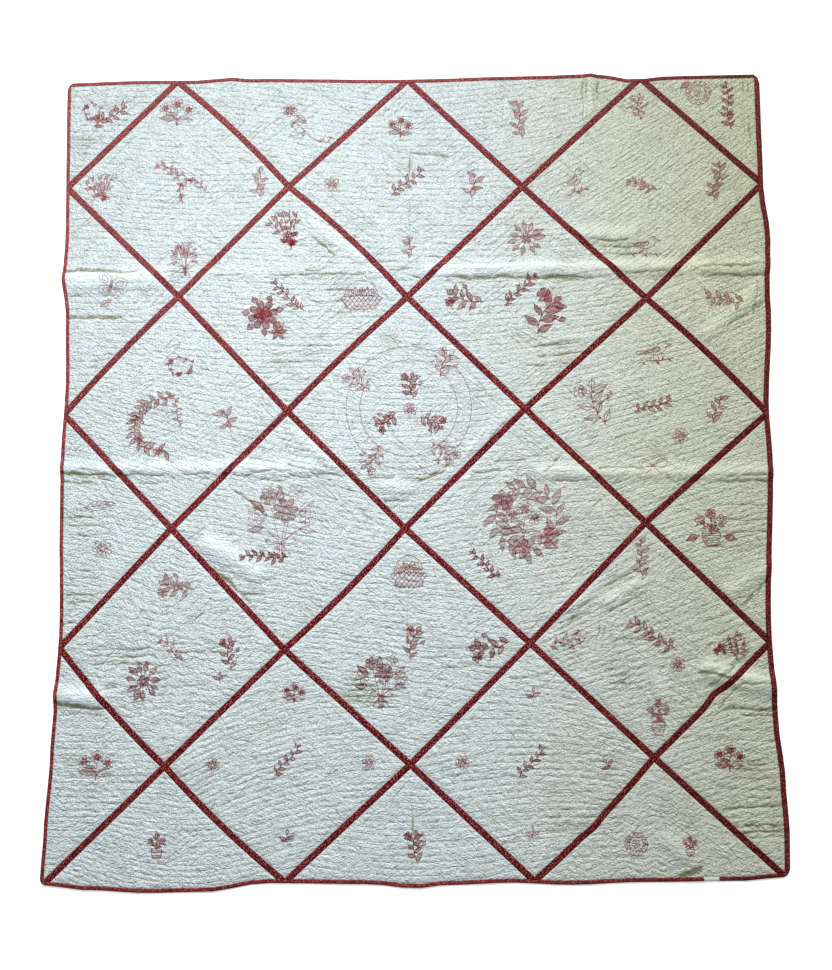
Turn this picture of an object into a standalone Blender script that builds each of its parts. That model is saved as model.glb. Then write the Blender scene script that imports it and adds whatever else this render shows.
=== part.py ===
"""A redwork quilt laid out flat, face up. Metres, +Z up, the quilt's foot towards -Y.

White blocks stand on point between red sashes, and a red binding runs round the edge. The whole
quilt is drawn once as a flat map of its seams, which is cut up along them, so that every piece
meets its neighbours. Each piece is a filled slab that follows the folds in which the quilt lies.
"""

import math

import bmesh
import bpy
import numpy as np
from mathutils import Vector
from mathutils.geometry import delaunay_2d_cdt

# Sizes of the sewn pieces
COLUMN_PITCH = 0.296  # between two columns of crossings
ROW_PITCH = 0.290  # between two rows of crossings
LAST_ROW = 7
LAST_COLUMN = 6
SASH_WIDTH = 0.016
BINDING_WIDTH = 0.010
RIGHT_BINDING_WIDTH = 0.014
SEAM_GAP = 0.0003
TUCK = 0.002  # how far a sash runs under the binding
MAP_GRAIN = 0.00002  # points of the map that lie closer than this are one point
SAME_POINT = 0.0001

# Thickness of the quilted cloth
BLOCK_THICK = 0.0048
SEAM_THICK = 0.0030
SASH_THICK = 0.0038
BINDING_THICK = 0.0050
BINDING_RIM_THICK = 0.0034
RIPPLE = 0.0005  # hand quilting leaves the blocks a little uneven
RIPPLE_LENGTH = 0.085
RIPPLE_SWAY = 0.45

# How closely the map is dotted
SEAM_STEP = 0.042
RIM_STEP = 0.046
DOT_ROW = 0.042
DOT_COLUMN = 0.050
DOT_CLEAR_OF_SEAM = 0.014
DOT_CLEAR_OF_FOLD = 0.020
FOLD_STEP = 0.042
FOLD_CLEAR_OF_SEAM = 0.010
LONG_FOLD = 0.20  # a fold longer than this has a line of the map along its crest
LONG_FOLD_LINES = (-1.0, -0.5, 0.5, 1.0)  # shares of the half width, to each side of the crest
SHORT_FOLD_LINES = (-1.0, 0.0, 1.0)
FOLD_END = 0.035  # a fold fades out over this length
CORNER_CLEAR = 0.010  # the hem line has no other point this close to its corners
SHARPEST_TURN = 0.2  # keeps a sharp tip's inset from running away

# One row for each row of crossings, from the top edge down. Columns: height of its middle,
# rise to the right per metre, place of each crossing across, and how far each strays up in mm.
CROSSINGS = (
    (1.011, -0.008, (-0.599, -0.001, 0.598), (1, 0, 0)),
    (0.728, -0.006, (-0.881, -0.307, 0.292, 0.901), (2, 2, -3, 0)),
    (0.437, -0.015, (-0.588, -0.003, 0.602), (0, 1, 0)),
    (0.142, -0.004, (-0.875, -0.307, 0.293, 0.898), (-3, 3, 6, -7)),
    (-0.149, 0.007, (-0.597, -0.010, 0.589), (3, -4, 3)),
    (-0.446, 0.005, (-0.873, -0.310, 0.299, 0.888), (3, -6, 5, 2)),
    (-0.731, 0.017, (-0.605, 0.002, 0.598), (2, -4, 2)),
    (-1.013, 0.009, (-0.896, -0.305, 0.303, 0.911), (0, -2, -4, -2)),
)

# Sashes that bow: row and column of the left end, step down (1) or up (-1), and bow in mm
BOWS = (
    (0, 1, 1, 8),
    (1, 2, 1, 9),
    (2, 5, 1, 6),
    (3, 0, -1, 5),
    (3, 2, -1, 4),
    (5, 0, 1, -7),
    (5, 2, -1, -6),
    (6, 1, 1, -7),
    (7, 4, -1, -8),
)

# The quilt's uneven edge. Columns: place along the edge, and where the edge lies there.
LEFT_EDGE = (
    (-1.012, -0.908),
    (-0.90, -0.902),
    (-0.72, -0.891),
    (-0.58, -0.884),
    (-0.40, -0.875),
    (-0.10, -0.881),
    (0.03, -0.882),
    (0.22, -0.874),
    (0.40, -0.878),
    (0.50, -0.889),
    (0.60, -0.884),
    (1.000, -0.888),
)
RIGHT_EDGE = (
    (-0.985, 0.920),
    (-0.90, 0.922),
    (-0.78, 0.916),
    (-0.62, 0.902),
    (-0.40, 0.892),
    (0.02, 0.908),
    (0.14, 0.902),
    (0.38, 0.915),
    (0.45, 0.913),
    (0.58, 0.919),
    (0.72, 0.905),
    (0.990, 0.903),
)
TOP_EDGE = (
    (-0.874, 1.018),
    (-0.70, 1.022),
    (-0.53, 1.020),
    (-0.47, 1.028),
    (-0.42, 1.022),
    (0.00, 1.014),
    (0.30, 1.018),
    (0.48, 1.021),
    (0.58, 1.005),
    (0.68, 1.012),
    (0.888, 1.013),
)
BOTTOM_EDGE = (
    (-0.896, -1.026),
    (-0.80, -1.037),
    (-0.64, -1.044),
    (-0.50, -1.041),
    (-0.35, -1.020),
    (-0.10, -1.022),
    (0.01, -1.032),
    (0.09, -1.024),
    (0.25, -1.018),
    (0.38, -1.023),
    (0.57, -1.016),
    (0.80, -1.013),
    (0.905, -1.004),
)
CORNER_OUT = 0.3  # how far a corner reaches from its chamfer towards the square point

# The folds in which it lies. Columns: start across and along, end across and along, height and
# half width in mm. A fold that starts or ends past the edge runs out over it.
FOLDS = (
    (-1.00, 0.482, -0.60, 0.498, 12, 46),
    (-0.58, 0.508, -0.02, 0.507, 3, 26),
    (0.02, 0.507, 1.00, 0.512, 9, 32),
    (-1.00, 0.006, -0.22, 0.000, 8, 30),
    (0.30, -0.012, 1.00, -0.018, 8, 30),
    (-1.00, -0.555, -0.74, -0.575, 13, 44),
    (0.70, -0.500, 1.00, -0.572, 12, 42),
    (0.40, 0.598, 0.60, 0.596, 8, 36),
    (-0.27, 0.650, -0.09, 0.520, 6, 30),
    (0.73, 0.320, 0.91, 0.470, 7, 34),
    (0.27, 0.150, 0.13, 0.020, 6, 26),
    (-0.31, 0.110, -0.16, -0.010, 6, 28),
    (-0.10, -0.042, 0.04, -0.056, 6, 24),
    (-0.53, -0.170, -0.35, -0.280, 10, 40),
    (0.34, -0.390, 0.48, -0.270, 9, 30),
    (0.49, -0.350, 0.59, -0.290, 7, 28),
    (0.77, -0.330, 0.92, -0.235, 7, 30),
    (0.59, -0.500, 0.64, -0.600, 6, 30),
    (0.60, -0.900, 0.69, -0.970, 7, 32),
    (0.46, 0.890, 0.475, 1.060, 5, 20),
)

WHITE = ((0.80, 0.81, 0.77, 1.0), 0.9)
RED = ((0.24, 0.022, 0.030, 1.0), 0.85)
SIDES = ("left", "top", "right", "bottom")


def eased(table, at):
    """Where a wavering edge lies at a place along it, eased between the rows of its table."""
    if at <= table[0][0]:
        return table[0][1]
    for (a, low), (b, high) in zip(table, table[1:]):
        if at <= b:
            t = (at - a) / (b - a)
            return low + (high - low) * t * t * (3 - 2 * t)
    return table[-1][1]


def crossing(row, column):
    """The point where two sashes cross. Past the edge it is a whole pitch from the last one."""
    if row < 0:
        return crossing(row + 2, column) + Vector((0, 2 * ROW_PITCH))
    if row > LAST_ROW:
        return crossing(row - 2, column) - Vector((0, 2 * ROW_PITCH))
    if column < 0:
        return crossing(row, column + 2) - Vector((2 * COLUMN_PITCH, 0))
    if column > LAST_COLUMN:
        return crossing(row, column - 2) + Vector((2 * COLUMN_PITCH, 0))
    middle, rise, places, strays = CROSSINGS[row]
    nth = column // 2
    x = places[nth]
    return Vector((x, middle + rise * x + strays[nth] / 1000))


def is_crossing(row, column):
    """Whether two sashes cross at a row and column of the quilt."""
    return 0 <= row <= LAST_ROW and 0 <= column <= LAST_COLUMN and (row + column) % 2 == 1


def arm(row, column, down, right):
    """The direction from a crossing along the sash towards its neighbour."""
    return (crossing(row + down, column + right) - crossing(row, column)).normalized()


def crossing_corner(row, column, first, second):
    """The corner of a crossing between two arms, each given as (down, right)."""
    a = arm(row, column, *first)
    b = arm(row, column, *second)
    return crossing(row, column) + (a + b) * (SASH_WIDTH / 2 / abs(a.cross(b)))


def bow_of(row, column, down):
    """How far the middle of a sash strays from the straight line between its ends."""
    bows = {(r, c, d): bow / 1000 for r, c, d, bow in BOWS}
    return bows.get((row, column, down), 0)


def sash_side(row, column, down, upper):
    """One side of the sash that leaves a crossing to the right, from corner to corner."""
    beside = (-down, 1) if upper == (down > 0) else (down, -1)
    start = crossing_corner(row, column, (down, 1), beside)
    end = crossing_corner(row + down, column + 1, (-down, -1), beside)
    run = end - start
    across = Vector((-run.y, run.x)).normalized()
    bow = bow_of(row, column, down)
    steps = max(2, round(run.length / SEAM_STEP))
    ways = [i / steps for i in range(steps + 1)]
    return [start + run * t + across * (bow * 4 * t * (1 - t)) for t in ways]


def long_sash_outline(first_row):
    """The outline of the sash that rises to the right from a crossing at the left or the foot."""
    row, column = (first_row, 0) if first_row <= LAST_ROW else (LAST_ROW, first_row - LAST_ROW)
    first = row, column
    upper = [crossing_corner(row, column, (-1, -1), (1, -1))]
    lower = [crossing_corner(row, column, (1, -1), (1, 1))]
    while is_crossing(row - 1, column + 1):
        upper += sash_side(row, column, -1, True)
        lower += sash_side(row, column, -1, False)
        row, column = row - 1, column + 1
    upper.append(crossing_corner(row, column, (-1, -1), (-1, 1)))
    lower.append(crossing_corner(row, column, (-1, 1), (1, 1)))
    return tucked_in(without_doubles(upper + lower[::-1]), (first, (row, column)))


def short_sash_outline(row, column):
    """The outline of the sash that falls to the right from a crossing to the next long sash."""
    sides = sash_side(row, column, 1, True) + sash_side(row, column, 1, False)[::-1]
    return tucked_in(sides, ((row, column), (row + 1, column + 1)))


def without_doubles(loop):
    """A loop without the points that repeat the one before."""
    return [p for p, before in zip(loop, loop[-1:] + loop[:-1]) if (p - before).length > SAME_POINT]


def tucked_in(loop, ends):
    """A sash's outline, whose ends at the quilt's edge reach a little way under the binding."""
    for row, column in ends:
        x, y = crossing(row, column)
        if column == 0:
            hem = eased(LEFT_EDGE, y) + BINDING_WIDTH
            loop = cut_off(loop, Vector((hem - TUCK, 0)), Vector((-1, 0)))
        if column == LAST_COLUMN:
            hem = eased(RIGHT_EDGE, y) - RIGHT_BINDING_WIDTH
            loop = cut_off(loop, Vector((hem + TUCK, 0)), Vector((1, 0)))
        if row == 0:
            hem = eased(TOP_EDGE, x) - BINDING_WIDTH
            loop = cut_off(loop, Vector((0, hem + TUCK)), Vector((0, 1)))
        if row == LAST_ROW:
            hem = eased(BOTTOM_EDGE, x) + BINDING_WIDTH
            loop = cut_off(loop, Vector((0, hem - TUCK)), Vector((0, -1)))
    return loop


def cut_off(loop, point, outward):
    """The part of a loop that lies behind a line through a point."""
    kept = []
    for a, b in loop_lines(loop):
        before, after = (a - point).dot(outward), (b - point).dot(outward)
        if before <= 0:
            kept.append(a)
        if (before < 0) != (after < 0):
            kept.append(a + (b - a) * (before / (before - after)))
    return without_doubles(kept)


def places_along(table):
    """Even places from one end of an edge to the other."""
    start, end = table[0][0], table[-1][0]
    steps = round((end - start) / RIM_STEP)
    return [start + (end - start) * i / steps for i in range(steps + 1)]


def edge_lines():
    """For each side its rim and its hem line, clockwise from the foot of the left side."""
    left, right, top, bottom = LEFT_EDGE, RIGHT_EDGE, TOP_EDGE, BOTTOM_EDGE
    side, wide = BINDING_WIDTH, RIGHT_BINDING_WIDTH
    rims = {
        "left": [Vector((eased(left, y), y)) for y in places_along(left)],
        "top": [Vector((x, eased(top, x))) for x in places_along(top)],
        "right": [Vector((eased(right, y), y)) for y in reversed(places_along(right))],
        "bottom": [Vector((x, eased(bottom, x))) for x in reversed(places_along(bottom))],
    }
    inward = {
        "left": Vector((side, 0)),
        "top": Vector((0, -side)),
        "right": Vector((-wide, 0)),
        "bottom": Vector((0, side)),
    }
    rim_corner, hem_corner = {}, {}
    for one, two in zip(SIDES, SIDES[1:] + SIDES[:1]):
        a, b = rims[one][-1], rims[two][0]
        square = Vector((a.x, b.y)) if one in ("left", "right") else Vector((b.x, a.y))
        rim_corner[one, two] = (a + b) / 2 * (1 - CORNER_OUT) + square * CORNER_OUT
        hem_corner[one, two] = square + inward[one] + inward[two]
    lines = {}
    for before, one, two in zip(SIDES[-1:] + SIDES[:-1], SIDES, SIDES[1:] + SIDES[:1]):
        a, b = hem_corner[before, one], hem_corner[one, two]
        way = (b - a).normalized()
        hem = [p + inward[one] for p in rims[one]]
        clear = CORNER_CLEAR, (b - a).length - CORNER_CLEAR
        inside = [p for p in hem if clear[0] < (p - a).dot(way) < clear[1]]
        rim = [rim_corner[before, one], *rims[one], rim_corner[one, two]]
        lines[one] = rim, [a, *inside, b]
    return lines


def fold_lift(x, y):
    """How high the folds lift the cloth off the floor at a point."""
    most = 0.0
    for x1, y1, x2, y2, height, half_width in FOLDS:
        along = Vector((x2 - x1, y2 - y1))
        length = along.length
        along.normalize()
        way = Vector((x - x1, y - y1))
        forward = way.dot(along)
        aside = abs(way.cross(along)) / (half_width / 1000)
        past = max(-forward, forward - length, -FOLD_END)
        if aside >= 1 or past >= 0:
            continue
        fade = min(1.0, -past / FOLD_END)
        fade = fade * fade * (3 - 2 * fade)
        most = max(most, height / 1000 * fade * math.cos(aside * math.pi / 2) ** 2)
    return most


def near_fold(point):
    """Whether a dot lies on a fold or within one step of it."""
    reach = DOT_COLUMN
    around = [(0, 0), (reach, 0), (-reach, 0), (0, reach), (0, -reach)]
    return any(fold_lift(point.x + dx, point.y + dy) > 0 for dx, dy in around)


def fold_dots():
    """Points on the lines along each fold, and the crests of the long folds."""
    dots, crests = [], []
    for x1, y1, x2, y2, _, half_width in FOLDS:
        start, end = Vector((x1, y1)), Vector((x2, y2))
        run = end - start
        across = Vector((-run.y, run.x)).normalized() * (half_width / 1000)
        steps = max(2, round(run.length / FOLD_STEP))
        is_long = run.length > LONG_FOLD
        if is_long:
            crests.append((start, end))
        for share in LONG_FOLD_LINES if is_long else SHORT_FOLD_LINES:
            dots += [start + run * (i / steps) + across * share for i in range(steps + 1)]
    return dots, crests


def clear_dots(dots, lines, clearance):
    """The dots that lie at least this far from every line."""
    if not dots:
        return []
    points = np.array([tuple(p) for p in dots])
    nearest = np.full(len(points), np.inf)
    for a, b in lines:
        start, run = np.array(tuple(a)), np.array(tuple(b - a))
        t = np.clip((points - start) @ run / (run @ run), 0, 1)
        nearest = np.minimum(nearest, np.linalg.norm(points - start - t[:, None] * run, axis=1))
    return [p for p, far in zip(dots, nearest) if far >= clearance]


def apart(dots, others, clearance):
    """The dots that lie at least this far from every other dot."""
    taken = np.array([tuple(p) for p in others])
    return [p for p in dots if np.linalg.norm(taken - np.array(tuple(p)), axis=1).min() >= clearance]


def even_dots():
    """A staggered grid over the whole quilt."""
    dots = []
    rows = round((LAST_ROW + 1) * ROW_PITCH / DOT_ROW)
    columns = round((LAST_COLUMN + 1) * COLUMN_PITCH / DOT_COLUMN)
    for i in range(rows + 1):
        for j in range(columns + 1):
            stagger = 1 / 4 if i % 2 else -1 / 4
            x = (j - columns / 2 + stagger) * DOT_COLUMN
            dots.append(Vector((x, (i - rows / 2) * DOT_ROW)))
    return dots


def loop_lines(loop):
    """Each point of a loop with the next."""
    return list(zip(loop, loop[1:] + loop[:1]))


def grain(point):
    """A point's place on the map's finest grid."""
    return round(point.x / MAP_GRAIN), round(point.y / MAP_GRAIN)


def is_clockwise(loop):
    """Which way round a loop runs, seen from above."""
    return sum(a.cross(b) for a, b in loop_lines(loop)) < 0


def flat_map(outlines, crests, dots):
    """Every outline, crest and dot in one triangulation: its points, and each piece's triangles."""
    places = {}

    def placed(point):
        """The number of a point. Neighbours that work out the same point share its number."""
        x, y = grain(point)
        around = [(x + dx, y + dy) for dx in (0, 1, -1) for dy in (0, 1, -1)]
        known = next((place for place in around if place in places), (x, y))
        return places.setdefault(known, len(places))

    loops = [loop[::-1] if is_clockwise(loop) else loop for loop in outlines.values()]
    faces = [[placed(p) for p in loop] for loop in loops]
    edges = [(placed(a), placed(b)) for a, b in crests]
    for dot in dots:
        placed(dot)
    points = [Vector(place) * MAP_GRAIN for place in places]
    made, _, triangles, _, _, sources = delaunay_2d_cdt(points, edges, faces, 0, MAP_GRAIN / 20)
    names = list(outlines)
    pieces = {}
    for triangle, inside in zip(triangles, sources):
        owners = [names[i] for i in inside]
        if "quilt" not in owners:
            continue
        centre = sum((made[i] for i in triangle), Vector((0, 0))) / 3
        owner = next(name for name in owners + [block_at(centre)] if name != "quilt")
        pieces.setdefault(owner, []).append(tuple(triangle))
    return made, pieces


def block_at(point):
    """The name of the block whose four crossings surround a point."""
    for row in range(LAST_ROW + 1):
        for column in range(row % 2, LAST_COLUMN + 1, 2):
            loop = [
                crossing(row - 1, column),
                crossing(row, column + 1),
                crossing(row + 1, column),
                crossing(row, column - 1),
            ]
            if all((b - a).cross(point - a) <= 0 for a, b in loop_lines(loop)):
                return f"block_r{row}_c{column}"
    return "quilt"


def rim_of(triangles):
    """Round the outside of some triangles, each corner's next corner."""
    edges = {(t[i], t[(i + 1) % 3]) for t in triangles for i in range(3)}
    return {a: b for a, b in edges if (b, a) not in edges}


def inset(points, after):
    """Each rim point moved half a seam gap into its piece."""
    before = {b: a for a, b in after.items()}
    moved = {}
    for i in after:
        into = (points[i] - points[before[i]]).normalized()
        out = (points[after[i]] - points[i]).normalized()
        turn = Vector((-into.y, into.x)) + Vector((-out.y, out.x))
        moved[i] = points[i] + turn * (SEAM_GAP / max(turn.length_squared, SHARPEST_TURN))
    return moved


def thickness(name, point, on_seam, on_edge):
    """How thick the cloth is at a point of a piece."""
    if name.startswith("binding"):
        return BINDING_RIM_THICK if on_edge else BINDING_THICK
    if "sash" in name:
        return SASH_THICK
    if on_seam:
        return SEAM_THICK
    sway = math.sin(2 * math.pi * point.x / RIPPLE_SWAY)
    return BLOCK_THICK + RIPPLE * math.sin(2 * math.pi * point.y / RIPPLE_LENGTH + sway)


def build_piece(name, top_map, bottom_map, centre):
    """One slab: its upper and lower skins from the two maps, joined by walls round the rim."""
    bm = bmesh.new()
    skins = []
    for (points, pieces), upper in ((top_map, True), (bottom_map, False)):
        edge = rim_of([t for triangles in pieces.values() for t in triangles]) if upper else {}
        after = rim_of(pieces[name])
        moved = inset(points, after)
        skin = {}
        for i in sorted({i for t in pieces[name] for i in t}):
            flat = moved.get(i, points[i]) - centre
            z = fold_lift(points[i].x, points[i].y)
            if upper:
                z += thickness(name, points[i], i in after, i in edge)
            skin[i] = bm.verts.new((flat.x, flat.y, z))
        for t in pieces[name]:
            bm.faces.new([skin[i] for i in (t if upper else reversed(t))])
        skins.append((skin, after, {grain(points[i]): i for i in after}))
    (top, after, top_places), (bottom, _, bottom_places) = skins
    under = {top_places[place]: bottom[bottom_places[place]] for place in top_places}
    for a, b in after.items():
        bm.faces.new([top[b], top[a], under[a], under[b]])
    mesh = bpy.data.meshes.new(name)
    bm.to_mesh(mesh)
    bm.free()
    return bpy.data.objects.new(name, mesh)


def material(name, look):
    """A plain cloth of one colour and roughness."""
    colour, roughness = look
    made = bpy.data.materials.new(name)
    made.use_nodes = True
    shader = made.node_tree.nodes["Principled BSDF"]
    shader.inputs["Base Color"].default_value = colour
    shader.inputs["Roughness"].default_value = roughness
    shader.inputs["Metallic"].default_value = 0.0
    made.diffuse_color = colour
    return made


def all_outlines(lines):
    """The outline of the whole quilt, its binding and its sashes, the foremost of them first."""
    outlines = {f"binding_{side}": rim + hem[::-1] for side, (rim, hem) in lines.items()}
    for nth, first_row in enumerate(range(1, LAST_ROW + LAST_COLUMN, 2), start=1):
        outlines[f"long_sash_{nth}"] = long_sash_outline(first_row)
    for row in range(LAST_ROW):
        for column in range(LAST_COLUMN):
            if is_crossing(row, column):
                outlines[f"short_sash_r{row}_c{column}"] = short_sash_outline(row, column)
    outlines["quilt"] = [p for side in SIDES for p in lines[side][0][:-1]]
    return outlines


def main():
    """Draw the map, cut it up and build each piece."""
    for obj in list(bpy.data.objects):
        bpy.data.objects.remove(obj)
    lines = edge_lines()
    outlines = all_outlines(lines)
    seams = [line for loop in outlines.values() for line in loop_lines(loop)]
    fold_points, crests = fold_dots()
    fold_points = clear_dots(fold_points, seams, FOLD_CLEAR_OF_SEAM)
    spread = clear_dots(even_dots(), seams, DOT_CLEAR_OF_SEAM)
    spread = apart(clear_dots(spread, crests, DOT_CLEAR_OF_FOLD), fold_points, DOT_CLEAR_OF_FOLD)
    top_map = flat_map(outlines, crests, fold_points + spread)
    lifted = [p for p in fold_points + spread if near_fold(p)]
    bottom_map = flat_map(outlines, crests, lifted)
    rim = outlines["quilt"]
    lowest = Vector((min(p.x for p in rim), min(p.y for p in rim)))
    highest = Vector((max(p.x for p in rim), max(p.y for p in rim)))
    centre = (lowest + highest) / 2
    quilt = bpy.data.collections.new("redwork_quilt")
    bpy.context.scene.collection.children.link(quilt)
    white = material("white_cotton", WHITE)
    red = material("red_calico", RED)
    for name in sorted(top_map[1]):
        piece = build_piece(name, top_map, bottom_map, centre)
        piece.data.materials.append(white if name.startswith("block") else red)
        quilt.objects.link(piece)


main()
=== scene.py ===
"""A redwork quilt laid flat on a pale floor, seen from above its foot end.

Metres, +Z up. Each block, sash and binding strip stands for the solid of its own name: it keeps that
solid's outline and the folds in which the quilt lies, and adds the hand quilting, the puckers, the
creases, the cloth and the red needlework.
"""

import logging
import math
from collections.abc import Callable
from dataclasses import dataclass, field
from enum import Enum

import bmesh
import bpy
import numpy as np
from mathutils import Matrix, Vector
from mathutils.geometry import delaunay_2d_cdt
from mathutils.kdtree import KDTree


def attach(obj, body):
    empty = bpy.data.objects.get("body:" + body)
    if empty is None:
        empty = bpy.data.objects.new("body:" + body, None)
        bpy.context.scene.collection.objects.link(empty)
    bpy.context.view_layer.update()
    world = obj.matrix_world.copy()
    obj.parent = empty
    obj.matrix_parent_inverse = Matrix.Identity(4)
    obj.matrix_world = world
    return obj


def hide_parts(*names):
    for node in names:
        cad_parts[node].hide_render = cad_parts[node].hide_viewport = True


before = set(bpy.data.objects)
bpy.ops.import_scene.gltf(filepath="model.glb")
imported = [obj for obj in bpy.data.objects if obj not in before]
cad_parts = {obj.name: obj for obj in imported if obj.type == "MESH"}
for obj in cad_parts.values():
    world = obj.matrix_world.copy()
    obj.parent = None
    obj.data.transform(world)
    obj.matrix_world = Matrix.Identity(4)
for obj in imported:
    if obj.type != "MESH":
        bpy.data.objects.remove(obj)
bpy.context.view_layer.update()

log = logging.getLogger("redwork_quilt")

BODY = "root"
NARROWEST = 0.0101  # the narrowest cut that a strip is declared with
MIDDLE = np.array((0.00697, -0.00843))  # the tables count from here, the solids from the outline's middle

# The tables are in mm and degrees, and count from MIDDLE.

# The folds in which it lies. Columns: start across and along, end across and along, height and
# half width. A fold that starts or ends past the edge runs out over it.
FOLDS = (
    (-1000, 482, -600, 498, 12, 46), (-580, 508, -20, 507, 3, 26), (20, 507, 1000, 512, 9, 32),
    (-1000, 6, -220, 0, 8, 30), (300, -12, 1000, -18, 8, 30), (-1000, -555, -740, -575, 13, 44),
    (700, -500, 1000, -572, 12, 42), (400, 598, 600, 596, 8, 36), (-270, 650, -90, 520, 6, 30),
    (730, 320, 910, 470, 7, 34), (270, 150, 130, 20, 6, 26), (-310, 110, -160, -10, 6, 28),
    (-100, -42, 40, -56, 6, 24), (-530, -170, -350, -280, 10, 40), (340, -390, 480, -270, 6, 36),
    (470, -355, 600, -275, 6, 34), (770, -330, 920, -235, 7, 30), (590, -500, 640, -600, 6, 30),
    (600, -900, 690, -970, 7, 32), (460, 890, 475, 1060, 5, 20),
)

# Sharper creases in the upper cloth alone. Columns as for the folds; a trough has a height below
# nought.
CREASES = (
    # where the quilt was folded across, a quarter of the way down
    (-970, 517, -660, 510, -3.6, 8), (-660, 508, -580, 508, -1.6, 7), (-970, 392, -710, 392, -3.6, 9),
    (-900, 452, -730, 452, -1.0, 6), (-560, 499, -20, 499, -1.3, 6), (-270, 511, -200, 511, -1.5, 6),
    (-90, 528, -10, 528, -1.8, 6), (-60, 509, 10, 509, -2.2, 7), (-300, 442, -220, 424, -1.3, 6),
    (-240, 424, -160, 427, -1.3, 6), (-220, 459, -130, 459, -1.3, 7), (-260, 608, -170, 535, -1.5, 8),
    (-240, 622, -150, 550, 1.1, 8), (40, 486, 520, 484, -2.5, 9), (40, 511, 520, 511, 1.2, 12),
    (0, 493, 60, 478, -1.7, 8), (340, 322, 490, 334, 2.0, 14), (300, 305, 460, 318, -1.7, 8),
    (300, 284, 460, 289, -1.5, 7), (280, 256, 420, 261, -1.3, 7), (450, 580, 570, 580, -2.0, 9),
    (470, 563, 570, 561, -1.5, 7), (500, 542, 590, 542, -1.5, 7), (520, 497, 680, 496, -1.5, 6),
    (720, 506, 940, 515, -2.3, 7), (730, 483, 940, 486, -2.1, 7), (790, 345, 910, 425, -1.5, 10),
    (865, 340, 885, 500, -1.2, 7), (500, 316, 570, 342, -1.2, 6),
    # near the top edge
    (0, 816, 120, 806, -2.1, 8), (0, 842, 120, 836, 1.0, 12), (450, 1030, 449, 870, -1.5, 5),
    (460, 1030, 459, 870, -1.3, 5), (472, 1030, 470, 900, 1.4, 8), (491, 1030, 486, 930, -1.8, 9),
    (4, 980, 3, 470, -1.0, 6), (862, 1030, 860, 850, -0.9, 6), (875, 1030, 872, 820, -1.0, 6),
    # where it was folded across the middle
    (-960, -3, -720, -18, -3.8, 8), (-900, -30, -790, -32, -2.4, 7), (-840, 3, -780, -4, -1.3, 5),
    (-750, -13, -590, -18, -1.9, 7), (-700, -34, -590, -35, -1.5, 6), (-610, -10, -530, -50, -1.4, 7),
    (-580, -10, -490, -16, -1.6, 7), (-450, -15, -390, -18, -1.4, 6), (-410, -6, -300, -8, -1.7, 6),
    (-310, -10, -240, -30, -1.5, 6), (-390, -28, -290, -27, -1.5, 6), (-310, 17, -250, -6, -1.7, 7),
    (-260, -6, -150, -24, -2.1, 8), (-450, -50, -390, -85, -1.6, 8), (-400, -80, -350, -125, -1.6, 8),
    (-220, -60, -40, -162, -1.1, 6), (-120, -27, -20, -20, -2.4, 8), (-70, -81, 10, -81, -2.6, 9),
    (-30, -29, 60, -25, -1.5, 6), (40, -22, 120, 14, -1.4, 6), (10, -45, 100, 0, -1.3, 6),
    (130, 20, 250, 160, 1.8, 12), (160, 18, 260, 130, -1.7, 6), (200, 16, 310, 18, -1.6, 7),
    (150, -12, 240, -12, -1.5, 6), (330, -20, 390, 32, -1.9, 7), (310, 30, 380, 72, 1.5, 14),
    (350, -34, 460, -36, -1.7, 8), (0, -154, 190, -152, -1.0, 5), (440, -3, 600, -5, -2.2, 7),
    (740, -26, 940, -25, -1.9, 7), (750, -41, 940, -40, -2.3, 7),
    # round the third fold across, which is pressed in at both sides alone
    (-970, -571, -740, -602, -3.7, 10), (-790, -555, -710, -544, -1.7, 7),
    (-790, -532, -710, -530, 1.5, 10), (-770, -570, -670, -570, -1.3, 6), (-600, -545, -480, -540, -1.2, 6),
    (-500, -352, -570, -412, -1.0, 5), (-880, -388, -830, -386, -2.2, 8), (-500, -245, -410, -318, -2.1, 9),
    (-420, -310, -390, -345, -1.7, 9), (-430, -318, -350, -312, -1.5, 8), (380, -368, 470, -312, 2.0, 18),
    (390, -388, 460, -350, -1.8, 7), (470, -352, 580, -283, 2.3, 22), (480, -374, 590, -313, -1.6, 6),
    (480, -307, 580, -249, -1.7, 6), (510, -276, 580, -236, 1.7, 14), (455, -460, 478, -370, -1.3, 5),
    (468, -470, 491, -380, -1.1, 5), (700, -496, 790, -497, 1.7, 10), (700, -513, 810, -528, -3.0, 8),
    (800, -540, 920, -540, -2.0, 7), (750, -603, 940, -601, -2.8, 9), (790, -618, 940, -618, -2.0, 7),
    (810, -362, 900, -272, -2.0, 10), (230, -522, 300, -525, -1.5, 6), (290, -525, 360, -506, -1.3, 6),
    # near the foot
    (750, -842, 950, -832, -2.0, 7), (790, -882, 950, -878, -1.5, 6), (770, -902, 950, -892, -2.2, 7),
    (800, -712, 930, -708, -1.5, 7), (810, -735, 930, -740, -1.5, 7),
    # beside the buckled sash
    (735, -560, 850, -446, -1.8, 5), (715, -562, 800, -478, 1.2, 8), (750, -608, 825, -532, -2.0, 7),
    (645, -1014, 718, -974, -2.8, 17), (-6, -200, 0, -700, -0.9, 6), (4, -760, 8, -1030, -0.8, 6),
)

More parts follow.
